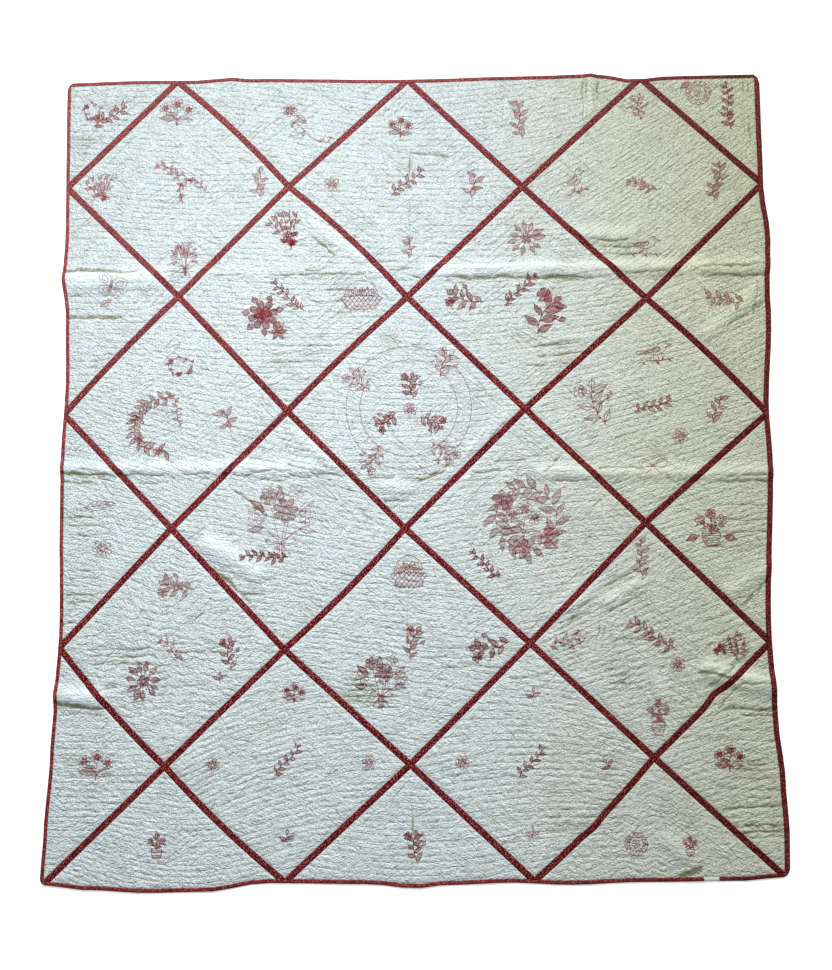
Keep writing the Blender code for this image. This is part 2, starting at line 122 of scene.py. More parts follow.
# Quilting rows that are drawn up into ribs. Columns: left and right end, the upper rib's place along,
# the pitch, how many there are, the depth and the half width.
RIBS = (
    (-880, -810, 866, 19, 3, -0.7, 7), (-880, -720, 350, 17, 6, -1.0, 6),
    (-880, -740, -120, 22, 3, -1.1, 6), (-880, -750, -254, 20, 5, -1.2, 6),
    (-850, -620, -451, 18, 3, -1.5, 6), (-620, -440, -440, 19, 2, -1.1, 5),
    (-180, 10, -512, 14, 7, -1.2, 5), (10, 250, -452, 23, 3, -1.1, 5), (-290, -170, -486, 17, 2, -1.2, 5),
    (460, 660, -430, 18, 8, -0.8, 7), (300, 560, -690, 19, 15, -0.8, 7), (740, 930, -101, 34, 4, -1.3, 6),
    (-880, -700, -720, 16, 10, -0.8, 5), (-240, -100, 610, 16, 3, -1.0, 5),
    (-250, -60, 660, 17, 3, -0.9, 5), (-380, -170, 335, 21, 4, -1.2, 6), (740, 930, -655, 23, 12, -0.9, 7),
)
RIB_DRIFT = 0.012  # how much longer or shorter than the table says a rib may be


def set_out(rows: np.ndarray) -> np.ndarray:
    """Fold or crease rows in metres, counted from the outline's middle instead of the tables' own."""
    return rows - np.array((*MIDDLE, *MIDDLE, 0, 0))


def ribs() -> np.ndarray:
    """The ribs as crease rows in metres, each a little shorter or longer than the one above it."""
    made = []
    for *ends, top, pitch, count, depth, half_width in RIBS:
        left, right = (end / 1000 for end in ends)
        for i in range(count):
            level = top / 1000 - i * pitch / 1000
            drift = RIB_DRIFT * math.sin(2.4 * i + 30 * left)
            rib = (left + drift, level, right - drift, level + drift / 8, depth / 1000, half_width / 1000)
            made.append(rib)
    return np.array(made)


def course(row: np.ndarray) -> tuple[np.ndarray, np.ndarray, float]:
    """Where a fold or crease starts, which way it runs, and how long it is."""
    run = row[2:4] - row[0:2]
    length = float(np.hypot(*run))
    return row[0:2], run / length, length


def beside(row: np.ndarray, at: np.ndarray) -> tuple[np.ndarray, np.ndarray, float]:
    """Places along and to the side of a fold's or crease's straight course, and its length."""
    start, along, length = course(row)
    way = at - start
    return way @ along, way[:, 0] * along[1] - way[:, 1] * along[0], length


def smooth_step(t: np.ndarray) -> np.ndarray:
    """Eases a share from 0 to 1, and holds it there past both ends."""
    t = np.clip(t, 0.0, 1.0)
    return t * t * (3.0 - 2.0 * t)


def ripple(x: np.ndarray, y: np.ndarray, seed: int) -> np.ndarray:
    """Smooth unevenness with about one swell and one hollow to every two units.

    Args:
        x: Places across, in units.
        y: Places along, in units.
        seed: Picks one pattern of many.

    Returns:
        Heights from about -1 to 1.
    """
    column, row = np.floor(x).astype(np.int64), np.floor(y).astype(np.int64)
    within_x, within_y = x - column, y - row

    def pull(right: int, up: int) -> np.ndarray:
        """The slope that one corner of a cell gives the places in it."""
        mixed = ((column + right) * 374761393 + (row + up) * 668265263 + seed * 2147001325) & 0xFFFFFFFF
        mixed = ((mixed ^ (mixed >> 13)) * 1274126177) & 0xFFFFFFFF
        turn = ((mixed ^ (mixed >> 16)) & 0xFFFF) * (2 * math.pi / 65536)
        return np.cos(turn) * (within_x - right) + np.sin(turn) * (within_y - up)

    across, along = smooth_step(within_x), smooth_step(within_y)
    low = pull(0, 0) * (1 - across) + pull(1, 0) * across
    high = pull(0, 1) * (1 - across) + pull(1, 1) * across
    return 1.6 * (low * (1 - along) + high * along)


@dataclass(frozen=True)
class Swell:
    """A smooth unevenness of one height and size."""

    height: float
    across: float  # half of how far its swells stand apart, this way and along
    along: float
    seed: int

    def at(self, x: np.ndarray, y: np.ndarray) -> np.ndarray:
        """How high it stands at each place."""
        return self.height * ripple(x / self.across, y / self.along, self.seed)


def total(swells: tuple[Swell, ...], x: np.ndarray, y: np.ndarray) -> np.ndarray:
    """How high several of them stand together."""
    return sum(swell.at(x, y) for swell in swells)


@dataclass
class Lie:
    """How the whole quilt lies on the floor: its folds, and the creases in its upper cloth."""

    folds: np.ndarray = field(default_factory=lambda: set_out(np.array(FOLDS) / 1000))
    creases: np.ndarray = field(
        default_factory=lambda: set_out(np.vstack((np.array(CREASES) / 1000, ribs())))
    )
    fold_course: float = 40.0  # these two take each row through the unevenness on a line of its own
    crease_course: float = 90.0
    fold_waver: Swell = Swell(0.003, 0.055, 1, 5)
    fold_end: float = 0.035  # a fold fades out over this length
    crease_wavers: tuple[Swell, ...] = (Swell(0.0026, 0.015, 1, 6), Swell(0.0040, 0.045, 1, 8))
    crease_depth: Swell = Swell(0.5, 0.024, 1, 7)  # about the usual depth
    usual_depth: float = 0.8
    sharpness: float = 0.8  # how wide a crease is made for its width in the table
    crease_end: float = 0.22  # the share of a crease's length over which either end fades out
    gain: float = 1.9
    slack: Swell = Swell(0.0013, 0.11, 0.075, 11)
    rumple: Swell = Swell(0.07, 0.026, 0.010, 13)  # for the height of the fold that it is on
    dotted: tuple[float, ...] = (-0.45, 0.0, 0.45)  # where a crease has dots, for its half width
    buckles: tuple[tuple[float, float, float], ...] = ((0.745, -0.562, 0.007), (0.442, -0.876, -0.004))
    buckle_reach: tuple[float, float] = (0.026, 0.034)  # along the buckled sash, and across it

    def slipped(self, at: np.ndarray) -> np.ndarray:
        """Where each place lies once the cloth has slipped beside the buckled sashes."""
        lies = at
        reach_along, reach_aside = self.buckle_reach
        for x, y, slip in self.buckles:
            way = at - np.array((x, y))
            along, aside = way @ (1, 1) / math.sqrt(2), way @ (-1, 1) / math.sqrt(2)
            share = np.exp(-((along / reach_along) ** 2) - (aside / reach_aside) ** 2)
            lies = lies + slip * share[:, None] * np.array((-1, 1)) / math.sqrt(2)
        return lies

    def _fold(self, row: np.ndarray, at: np.ndarray) -> np.ndarray:
        """How high one fold lifts each place."""
        forward, side, length = beside(row, at)
        bend = self.fold_waver.at(forward, np.full(len(at), row[0] * self.fold_course))
        fade = smooth_step(np.minimum(forward, length - forward) / self.fold_end)
        inside = np.clip(1 - np.abs(side + bend) / row[5], 0, 1)
        return row[4] * fade * np.sin(inside * math.pi / 2) ** 2

    def lift(self, at: np.ndarray) -> np.ndarray:
        """How high the folds lift the cloth off the floor at each place."""
        return np.max([self._fold(row, at) for row in self.folds], axis=0)

    def crease(self, at: np.ndarray) -> np.ndarray:
        """How far the creases and a slight slackness move the upper cloth."""
        moved = self.slack.at(*at.T) + self.lift(at) * self.rumple.at(*at.T)
        widest_bend = sum(swell.height for swell in self.crease_wavers)
        for row in self.creases:
            forward, side, length = beside(row, at)
            near = (forward > 0) & (forward < length) & (np.abs(side) < row[5] + widest_bend)
            if near.any():
                forward, side = forward[near], side[near]
                own = np.full(len(forward), row[1] * self.crease_course)
                fade = smooth_step(np.minimum(forward, length - forward) / (self.crease_end * length))
                off = np.abs(side + total(self.crease_wavers, forward, own))
                inside = np.clip(1 - off / (row[5] * self.sharpness), 0, 1)
                depth = self.usual_depth + self.crease_depth.at(forward, own)
                moved[near] += self.gain * row[4] * fade * depth * inside**1.5
        return moved

    def crease_dots(self, low: np.ndarray, high: np.ndarray, step: float) -> np.ndarray:
        """Dots along the bottom or the crest of each crease, and on either side of it.

        Args:
            low: Lower left corner of the stretch that is wanted.
            high: Its upper right corner.
            step: How far the dots stand apart.

        Returns:
            The dots.
        """
        made = [np.zeros((0, 2))]
        for row in self.creases:
            start, along, length = course(row)
            end = row[2:4]
            if (np.maximum(start, end) < low).any() or (np.minimum(start, end) > high).any():
                continue
            aside = np.array((along[1], -along[0]))
            forward = np.arange(step, length - step, step)
            bend = total(self.crease_wavers, forward, np.full(len(forward), row[1] * self.crease_course))
            for share in self.dotted:
                side = share * row[5] - bend
                made.append(start + forward[:, None] * along + side[:, None] * aside)
        return np.vstack(made)


SAME_POINT = 1e-5  # points of a solid that are nearer than this are one


def off_lines(at: np.ndarray, starts: np.ndarray, ends: np.ndarray) -> np.ndarray:
    """How far each place lies from the nearest of some straight lines."""
    nearest = np.full(len(at), np.inf)
    for start, end in zip(starts, ends):
        run = end - start
        share = np.clip((at - start) @ run / (run @ run), 0, 1)
        nearest = np.minimum(nearest, np.hypot(*(at - start - share[:, None] * run).T))
    return nearest


@dataclass
class Outline:
    """The seam line round one of the solids, anticlockwise from above."""

    points: np.ndarray

    @classmethod
    def of_solid(cls, name: str) -> "Outline":
        """Reads the rim of a solid's upper side.

        Args:
            name: The solid's name.

        Returns:
            Its outline.
        """
        solid = bmesh.new()
        solid.from_mesh(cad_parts[name].data)
        bmesh.ops.remove_doubles(solid, verts=solid.verts, dist=SAME_POINT)
        upper = {face for face in solid.faces if face.normal.z > 0.5}
        after = {}
        for face in upper:
            for loop in face.loops:
                if sum(other in upper for other in loop.edge.link_faces) == 1:
                    after[loop.vert] = loop.link_loop_next.vert
        walk = [next(iter(after))]
        while after[walk[-1]] is not walk[0]:
            walk.append(after[walk[-1]])
        points = np.array([vert.co.xy[:] for vert in walk])
        solid.free()
        return cls(points)

    def ends(self) -> np.ndarray:
        """Each point's next one."""
        return np.roll(self.points, -1, axis=0)

    def divided(self, step: float) -> "Outline":
        """The same outline with a point at least every step."""
        made = []
        for start, end in zip(self.points, self.ends()):
            parts = max(1, math.ceil(float(np.hypot(*(end - start))) / step))
            made.extend(start + (end - start) * (i / parts) for i in range(parts))
        return Outline(np.array(made))

    def moved_in(self, distance: float) -> "Outline":
        """The same outline moved in by a distance, or out by one below nought."""
        along = self.ends() - self.points
        along /= np.hypot(along[:, 0], along[:, 1])[:, None]
        inward = np.column_stack((-along[:, 1], along[:, 0]))
        both = inward + np.roll(inward, 1, axis=0)
        stretch = 2 / np.maximum((both**2).sum(axis=1), 0.8)
        return Outline(self.points + both * (stretch * distance)[:, None])

    def distance(self, at: np.ndarray) -> np.ndarray:
        """How far each place lies from the outline."""
        return off_lines(at, self.points, self.ends())

    def holds(self, at: np.ndarray) -> np.ndarray:
        """Which places lie inside the outline."""
        inside = np.zeros(len(at), dtype=bool)
        for (x1, y1), (x2, y2) in zip(self.points, self.ends()):
            spans = (y1 > at[:, 1]) != (y2 > at[:, 1])
            if y1 != y2:
                inside ^= spans & (at[:, 0] < (x2 - x1) * (at[:, 1] - y1) / (y2 - y1) + x1)
        return inside

    def area(self) -> float:
        """The flat area inside."""
        (x1, y1), (x2, y2) = self.points.T, self.ends().T
        return float(abs((x1 * y2 - x2 * y1).sum()) / 2)


def apart(dots: np.ndarray, others: np.ndarray, gap: float) -> np.ndarray:
    """The dots that stand at least a gap away from all the others."""
    if len(others) == 0:
        return dots
    tree = KDTree(len(others))
    for i, place in enumerate(others):
        tree.insert((*place, 0), i)
    tree.balance()
    kept = [tree.find((*place, 0))[2] > gap for place in dots]
    return dots[np.array(kept)]


def thinned(dots: np.ndarray, gap: float) -> np.ndarray:
    """The dots without those that crowd an earlier one."""
    cells = {}
    for place in dots:
        cells.setdefault((int(place[0] // gap), int(place[1] // gap)), place)
    return np.array(list(cells.values())).reshape(-1, 2)


def skin(rim: np.ndarray, dots: np.ndarray) -> tuple[np.ndarray, np.ndarray, np.ndarray]:
    """Fills a rim with triangles through the dots inside it.

    Args:
        rim: The outline's points, anticlockwise.
        dots: Places inside it.

    Returns:
        The points, the triangles, and where each rim point is among the points.
    """
    given = [Vector(place) for place in np.vstack((rim, dots))]
    loop = list(range(len(rim)))
    made, _, triangles, sources, _, _ = delaunay_2d_cdt(given, [], [loop], 1, 1e-7)
    rim_places = np.zeros(len(rim), dtype=int)
    for place, known in enumerate(sources):
        for source in known:
            if source < len(rim):
                rim_places[source] = place
    return np.array([point[:] for point in made]), np.array(triangles), rim_places


def closed_sheet(name: str, rim: np.ndarray, upper: tuple, lower: tuple) -> bpy.types.Object:
    """Joins an upper and a lower skin by a wall round their common rim.

    Args:
        name: The new object's name.
        rim: The outline's points, for their count.
        upper: Points with heights, triangles and rim places of the upper skin.
        lower: The same of the lower skin.

    Returns:
        The object, smooth all over.
    """
    (top, top_faces, top_rim), (under, under_faces, under_rim) = upper, lower
    under_rim = under_rim + len(top)
    after = np.roll(np.arange(len(rim)), -1)
    walls = np.column_stack((top_rim[after], top_rim, under_rim, under_rim[after]))
    triangles = np.vstack((top_faces, under_faces[:, ::-1] + len(top)))
    corners = np.concatenate((triangles.ravel(), walls.ravel())).astype(np.int32)
    sizes = np.concatenate((np.full(len(triangles), 3), np.full(len(walls), 4)))
    mesh = bpy.data.meshes.new(name)
    mesh.vertices.add(len(top) + len(under))
    mesh.vertices.foreach_set("co", np.vstack((top, under)).astype(np.float32).ravel())
    mesh.loops.add(len(corners))
    mesh.loops.foreach_set("vertex_index", corners)
    mesh.polygons.add(len(sizes))
    starts = np.concatenate(([0], np.cumsum(sizes)[:-1])).astype(np.int32)
    mesh.polygons.foreach_set("loop_start", starts)
    mesh.update(calc_edges=True)
    mesh.validate()
    mesh.shade_smooth()
    made = bpy.data.objects.new(name, mesh)
    bpy.context.scene.collection.objects.link(made)
    return made


@dataclass
class Piece:
    """One sewn piece of the quilt, closed above, below and round its rim."""

    solid: str
    lie: Lie
    material: bpy.types.Material
    slot: str
    rim_step: float = 0.0040
    rings: tuple[float, ...] = (0.0012, 0.0034, 0.0060, 0.0092)
    under_step: float = 0.030
    tuck: float = 0.0003  # how far it reaches under or into its neighbours
    thinnest: float = 0.0006
    hollow_from: float = 0.0006  # how far down a crease starts to count as a hollow
    hollow_full: float = 0.0020
    taut_lift: float = 0.010  # how high a fold draws the cloth tight
    outline: Outline = field(init=False)
    edge: Outline = field(init=False)

    def __post_init__(self) -> None:
        """Reads the outline from the piece's solid."""
        self.outline = Outline.of_solid(self.solid)
        self.edge = self.outline.moved_in(-self.tuck)

    def rim(self) -> np.ndarray:
        """The points round the finished piece."""
        return self.edge.divided(self.rim_step).points

    def ring_dots(self) -> np.ndarray:
        """Dots on lines that follow the rim inside the piece."""
        rim = self.edge.divided(self.rim_step)
        rows = []
        for distance in self.rings:
            row = rim.moved_in(distance).points
            near = self.edge.distance(row)
            rows.append(row[self.edge.holds(row) & (near > distance * 0.9)])
        return np.vstack(rows)

    def dots(self) -> np.ndarray:
        """Every dot inside the piece."""
        return self.ring_dots()

    def inside(self, at: np.ndarray) -> np.ndarray:
        """How far each place lies in from the rim."""
        return np.where(self.edge.holds(at), self.edge.distance(at), 0.0)

    def thread_places(self, at: np.ndarray) -> np.ndarray:
        """Places along and across the quilting rows or the strip, for the cloth's own pattern."""
        raise NotImplementedError

    def thickness(self, at: np.ndarray) -> np.ndarray:
        """How thick the piece is at each place."""
        raise NotImplementedError

    def surface(self, at: np.ndarray) -> np.ndarray:
        """The height of the piece's face at each place."""
        return self.lie.lift(at) + np.maximum(self.thickness(at) + self.lie.crease(at), self.thinnest)

    def hollow(self, at: np.ndarray) -> np.ndarray:
        """How far each place lies down in a crease or a row, from 0 to 1, where the cotton paints shade."""
        return smooth_step((-self.lie.crease(at) - self.hollow_from) / self.hollow_full)

    def tight(self, at: np.ndarray) -> np.ndarray:
        """How tightly the cloth is drawn over a fold at each place, from 0 to 1."""
        return smooth_step(self.lie.lift(at) / self.taut_lift)

    def under_dots(self) -> np.ndarray:
        """A sparse grid for the underside."""
        low, high = self.edge.points.min(axis=0), self.edge.points.max(axis=0)
        across = np.arange(low[0], high[0], self.under_step)
        along = np.arange(low[1], high[1], self.under_step)
        grid = np.array([(x, y) for y in along for x in across]).reshape(-1, 2)
        grid = grid[self.edge.holds(grid)]
        return grid[self.edge.distance(grid) > 0.3 * self.under_step]

    def build(self) -> bpy.types.Object:
        """Returns:
            The finished object.
        """
        rim = self.rim()
        flat, faces, rim_places = skin(rim, self.dots())
        top = np.column_stack((self.lie.slipped(flat), self.surface(flat)))
        under_flat, under_faces, under_places = skin(rim, self.under_dots())
        under = np.column_stack((self.lie.slipped(under_flat), self.lie.lift(under_flat)))
        name = self.solid + "_cloth"
        made = closed_sheet(name, rim, (top, faces, rim_places), (under, under_faces, under_places))
        self._lay_pattern(made, np.vstack((flat, under_flat)))
        # the hollow share is where the cotton paints shade; the tight share calms the relief and that shade
        # over folds
        for attribute, values in (("hollow", self.hollow(flat)), ("tight", self.tight(flat))):
            layer = made.data.attributes.new(attribute, "FLOAT", "POINT")
            values = np.append(values, np.zeros(len(under_flat)))
            layer.data.foreach_set("value", values.astype(np.float32))
        made.data.materials.append(self.material)
        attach(made, BODY)
        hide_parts(self.solid)
        self.flat_size()
        self.edge.area()
        log.info("%s: %d faces", made.name, len(made.data.polygons))
        return made

    def flat_size(self) -> tuple[float, float]:
        """Width and length of the piece's cut."""
        width, length = self.edge.points.max(axis=0) - self.edge.points.min(axis=0)
        return (float(width), float(length))

    def _lay_pattern(self, made: bpy.types.Object, flat: np.ndarray) -> None:
        """Gives each point its place on the cloth's own pattern."""
        places = self.thread_places(flat).astype(np.float32)
        corner_points = np.zeros(len(made.data.loops), dtype=np.int32)
        made.data.loops.foreach_get("vertex_index", corner_points)
        layer = made.data.uv_layers.new(name="Rows")
        layer.uv.foreach_set("vector", places[corner_points].ravel())


@dataclass
class QuiltedBlock(Piece):
    """A white block, hand quilted in close rows that wander from block to block."""

    slot: str = "white_cotton"
    tuck: float = 0.0006
    turn_top: float = 0.0  # how far the rows turn from level at the block's top, in degrees
    turn_foot: float = 0.0
    bend: float = 0.0  # how far they turn from its left side to its right
    pitch: float = 0.016
    wanders: tuple[Swell, ...] = (Swell(0.0026, 0.050, 3.1, 21), Swell(0.0011, 0.021, 1.7, 22))
    chevron: float = 0.0  # how high the rows zigzag
    chevron_length: float = 0.066
    chevron_sway: Swell = Swell(0.30, 0.070, 2.6, 23)
    swell: float = 1.0  # how strongly all of the next five show
    row_height: float = 0.00140
    held: float = 0.60  # how strongly the rows hold the cloth down, and how unevenly
    holds: tuple[Swell, ...] = (Swell(0.65, 0.075, 4.3, 35), Swell(0.55, 0.019, 1 / 1.1, 31))
    gather: Swell = Swell(0.00105, 0.0088, 1 / 2.1, 32)
    blisters: tuple[Swell, ...] = (Swell(0.00120, 0.0080, 0.0070, 33), Swell(0.00095, 0.030, 0.022, 34))
    calm_edge: tuple[float, float] = (0.001, 0.007)  # where they start beside the seam, and over how far
    seam_thick: float = 0.0024
    full_thick: float = 0.0046
    rise_length: float = 0.0042
    ditch: tuple[float, float, float] = (0.0006, 0.0062, 0.0018)  # its depth, place and half width
    row_hollow: float = 0.30  # how much of a hollow the rows are, which the cotton fills with painted shade
    sub_rows: int = 5
    dot_step: float = 0.0041
    crease_gap: float = 0.0021  # dots nearer than this to a crease's own give way to them
    ring_gap: float = 0.0022
    side: float = 0.29  # from the middle of a whole block to its corners
    middle: np.ndarray = field(default_factory=lambda: np.zeros(2))

    def _height(self, s: np.ndarray, q: np.ndarray) -> np.ndarray:
        """The height over the block's middle of the place s along row q."""
        share = np.clip(q * self.pitch / (2 * self.side) + 0.5, 0, 1)
        foot, top = math.radians(self.turn_foot), math.radians(self.turn_top)
        slope = np.tan(foot + (top - foot) * share)
        bend = math.radians(self.bend) / (2 * self.side) * s * s / 2
        swayed = s / self.chevron_length + self.chevron_sway.at(s, q)
        peaks = self.chevron * (np.abs(swayed % 1 - 0.5) * 2 - 0.5)
        return q * self.pitch + slope * s + bend + total(self.wanders, s, q) + peaks

    def thread_places(self, at: np.ndarray) -> np.ndarray:
        """Distance along the quilting rows, and the number of rows passed."""
        s, height = (at - self.middle).T
        q = height / self.pitch
        for _ in range(12):
            q = q + (height - self._height(s, q)) / self.pitch * 0.8
        return np.column_stack((s, q))

    def dots(self) -> np.ndarray:
        """Dots on the quilting rows and between them, and on lines along the seams."""
        reach = round(2 * self.side / self.pitch * self.sub_rows)
        s, nth = np.meshgrid(np.arange(-self.side, self.side, self.dot_step), np.arange(-reach, reach + 1))
        s = (s + np.where(nth % 2 == 0, 0.0, self.dot_step / 2)).ravel()
        q = nth.ravel() / self.sub_rows
        spread = np.column_stack((s, self._height(s, q))) + self.middle
        low, high = self.edge.points.min(axis=0), self.edge.points.max(axis=0)
        creased = thinned(self.lie.crease_dots(low, high, self.dot_step), self.crease_gap)
        spread = np.vstack((creased, apart(spread, creased, self.crease_gap)))
        spread = spread[self.inside(spread) > self.rings[-1] + self.ring_gap]
        return np.vstack((self.ring_dots(), spread))

    def _relief(self, at: np.ndarray) -> np.ndarray:
        """How the rows, their stitches and the slack cloth between them swell and sink."""
        s, q = self.thread_places(at).T
        between = np.abs(np.sin(math.pi * q)) ** 0.8 - 0.6
        rows = self.row_height * between * (self.held + total(self.holds, s, q))
        relief = rows + self.gather.at(s, q) + total(self.blisters, *at.T)
        start, length = self.calm_edge
        loose = self.swell * (1 - 0.5 * self.tight(at))
        return loose * relief * smooth_step((self.inside(at) - start) / length)

    def thickness(self, at: np.ndarray) -> np.ndarray:
        """The wadding swells between the rows, and the stitches pucker the cloth."""
        inside = self.inside(at)
        depth, place, half_width = self.ditch
        rise = 1 - np.exp(-inside / self.rise_length)
        ditch = depth * np.exp(-(((inside - place) / half_width) ** 2))
        return self.seam_thick + (self.full_thick - self.seam_thick) * rise - ditch + self._relief(at)

    def hollow(self, at: np.ndarray) -> np.ndarray:
        """See Piece."""
        rows = self.row_hollow * smooth_step(-self._relief(at) / self.hollow_full)
        return np.clip(super().hollow(at) + rows, 0, 1)


@dataclass
class Strip(Piece):
    """A narrow strip of red calico, slightly gathered along its length."""

    rim_step: float = 0.0042
    under_step: float = 0.060
    gathers: tuple[Swell, ...] = ()

    def gather(self, at: np.ndarray) -> np.ndarray:
        """How far the gathers lift the strip at each place."""
        return total(self.gathers, *self.thread_places(at).T)

    def flat_size(self) -> tuple[float, float]:
        """The strip's own width and length, whichever way it runs."""
        length = float(np.ptp(self.thread_places(self.edge.points)[:, 0]))
        return (max(self.edge.area() / length, NARROWEST), length)


@dataclass
class Sash(Strip):
    """A strip between the blocks."""

    slot: str = "sash_calico"
    thick: float = 0.0038
    edge_thick: float = 0.0027
    roundness: float = 0.0013
    rings: tuple[float, ...] = (0.0010, 0.0030, 0.0064)
    tuck: float = 0.00016
    gathers: tuple[Swell, ...] = (Swell(0.00026, 0.0085, 0.011, 41), Swell(0.0003, 0.031, 0.03, 42))

    def thread_places(self, at: np.ndarray) -> np.ndarray:
        """Places along and across the strip."""
        spread = self.outline.points - self.outline.points.mean(axis=0)
        _, _, ways = np.linalg.svd(spread, full_matrices=False)
        along = ways[0] * (1 if ways[0][0] > 0 else -1)
        aside = np.array((-along[1], along[0]))
        return np.column_stack((at @ along, at @ aside))

    def thickness(self, at: np.ndarray) -> np.ndarray:
        """Rounded at both seams."""
        rise = 1 - np.exp(-self.inside(at) / self.roundness)
        return self.edge_thick + (self.thick - self.edge_thick + self.gather(at)) * rise


@dataclass
class Binding(Strip):
    """A strip folded over the quilt's edge."""

    slot: str = "binding_calico"
    outward: tuple[float, float] = (0.0, 0.0)
    most_askew: float = 0.45  # the outline's own edge faces outward at least as much as this
    crown: float = 0.0050
    lip: float = 0.0010
    hem_thick: float = 0.0040
    hem_length: float = 0.0012
    round_width: float = 0.0034
    rings: tuple[float, ...] = (0.0006, 0.0015, 0.0030, 0.0048)
    tuck: float = 0.0
    gathers: tuple[Swell, ...] = (Swell(0.00035, 0.0075, 0.009, 51), Swell(0.0004, 0.035, 0.04, 52))

    def _from_edge(self, at: np.ndarray) -> np.ndarray:
        """How far each place lies from the quilt's own edge."""
        starts, ends = self.outline.points, self.outline.ends()
        runs = ends - starts
        facing = (runs[:, 1] * self.outward[0] - runs[:, 0] * self.outward[1]) / np.hypot(*runs.T)
        outer = facing > self.most_askew
        return off_lines(at, starts[outer], ends[outer])

    def thread_places(self, at: np.ndarray) -> np.ndarray:
        """Places along the edge, and in from it."""
        along = np.array((self.outward[1], -self.outward[0]))
        return np.column_stack((at @ along, self._from_edge(at)))

    def thickness(self, at: np.ndarray) -> np.ndarray:
        """Rounded over the edge, and held down by the hemming stitches inside."""
        out = self._from_edge(at)
        share = np.clip(out / self.round_width, 0, 1)
        over = self.lip + (self.crown - self.lip) * np.sqrt(1 - (1 - share) ** 2)
        hemmed = (self.crown - self.hem_thick) * np.exp(-self.inside(at) / self.hem_length)
        return over - hemmed * (out > self.round_width) + self.gather(at) * share


def math_node(operation: str, swapped: bool = False) -> Callable[..., "Wire"]:
    """A method of Wire that adds one Math node.

    Args:
        operation: What the node does.
        swapped: Whether the wire comes after the other value.

    Returns:
        The method, which takes the other values and returns the node's output.
    """

    def method(wire: "Wire", *others: "Wire | float") -> "Wire":
        """Adds the node."""
        values = (*others, wire) if swapped else (wire, *others)
        return wire.graph.node("ShaderNodeMath", {"operation": operation}, dict(enumerate(values)))

    return method


@dataclass(frozen=True)
class Wire:
    """One output in a node tree, which can be written into a sum."""

    graph: "Graph"
    socket: bpy.types.NodeSocket

    __add__ = math_node("ADD")
    __radd__ = math_node("ADD", swapped=True)
    __sub__ = math_node("SUBTRACT")
    __rsub__ = math_node("SUBTRACT", swapped=True)
    __mul__ = math_node("MULTIPLY")
    __rmul__ = math_node("MULTIPLY", swapped=True)
    __truediv__ = math_node("DIVIDE")
    __lt__ = math_node("LESS_THAN")
    sine = math_node("SINE")
    fraction = math_node("FRACT")
    whole = math_node("FLOOR")
    size = math_node("ABSOLUTE")

    def step(self, low: float, high: float) -> "Wire":
        """Eased from 0 at the low value to 1 at the high one."""
        settings = {"interpolation_type": "SMOOTHSTEP"}
        return self.graph.node("ShaderNodeMapRange", settings, {0: self, 1: low, 2: high, 3: 0.0, 4: 1.0})


@dataclass
class Graph:
    """A node tree, to which every node is added in the same way."""

    tree: bpy.types.NodeTree

    def node(
        self, kind: str, settings: dict | None = None, sockets: dict | None = None, out: int | str = 0
    ) -> Wire:
        """Adds a node.

        Args:
            kind: The node's type.
            settings: Its own settings, which are set first.
            sockets: Values or links of its inputs, by number or name.
            out: The output that is wanted.

        Returns:
            That output.
        """
        made = self.tree.nodes.new(kind)
        for name, value in (settings or {}).items():
            setattr(made, name, value)
        for name, value in (sockets or {}).items():
            if isinstance(value, Wire):
                self.tree.links.new(value.socket, made.inputs[name])
            else:
                made.inputs[name].default_value = value
        return Wire(self, made.outputs[out] if made.outputs else None)

    def place(self) -> Wire:
        """Where each point is on the quilt, in metres."""
        return self.node("ShaderNodeTexCoord", out="Object")

    def attribute(self, name: str) -> Wire:
        """A number that the mesh holds for each of its points."""
        return self.node("ShaderNodeAttribute", {"attribute_name": name}, out="Fac")

    def mix(self, share: Wire | float, first: Wire | tuple, second: Wire | tuple) -> Wire:
        """A colour between two others."""
        settings = {"data_type": "RGBA", "blend_type": "MIX"}
        return self.node("ShaderNodeMix", settings, {0: share, 6: first, 7: second}, out=2)

    def noise(
        self, place: Wire, scale: float, detail: float, roughness: float = 0.5, flat: bool = False
    ) -> Wire:
        """Soft noise about a half, at a scale in swells a metre, in the plane alone if it is flat."""
        sockets = {"Vector": place, "Scale": scale, "Detail": detail, "Roughness": roughness}
        return self.node("ShaderNodeTexNoise", {"noise_dimensions": "2D" if flat else "3D"}, sockets)

    def joined(self, *parts: Wire | float) -> Wire:
        """A place from its three numbers."""
        return self.node("ShaderNodeCombineXYZ", sockets=dict(enumerate(parts)))

    def parts(self, place: Wire) -> tuple[Wire, Wire, Wire]:
        """The three numbers of a place."""
        split = self.node("ShaderNodeSeparateXYZ", sockets={0: place}).socket.node
        return tuple(Wire(self, output) for output in split.outputs)

    def stretched(self, place: Wire, scale: tuple[float, float, float]) -> Wire:
        """A place scaled apart along its three ways."""
        return self.node("ShaderNodeVectorMath", {"operation": "MULTIPLY"}, {0: place, 1: scale})


Colour = tuple[float, float, float, float]


def dyed(red: int, green: int, blue: int) -> Colour:
    """A cloth's colour from the usual 0 to 255 numbers.

    Args:
        red: Red as a screen shows it.
        green: Green as a screen shows it.
        blue: Blue as a screen shows it.

    Returns:
        The same colour in the numbers that light adds up in.
    """
    parts = [value / 255 for value in (red, green, blue)]
    linear = [v / 12.92 if v <= 0.04045 else ((v + 0.055) / 1.055) ** 2.4 for v in parts]
    return (*linear, 1.0)


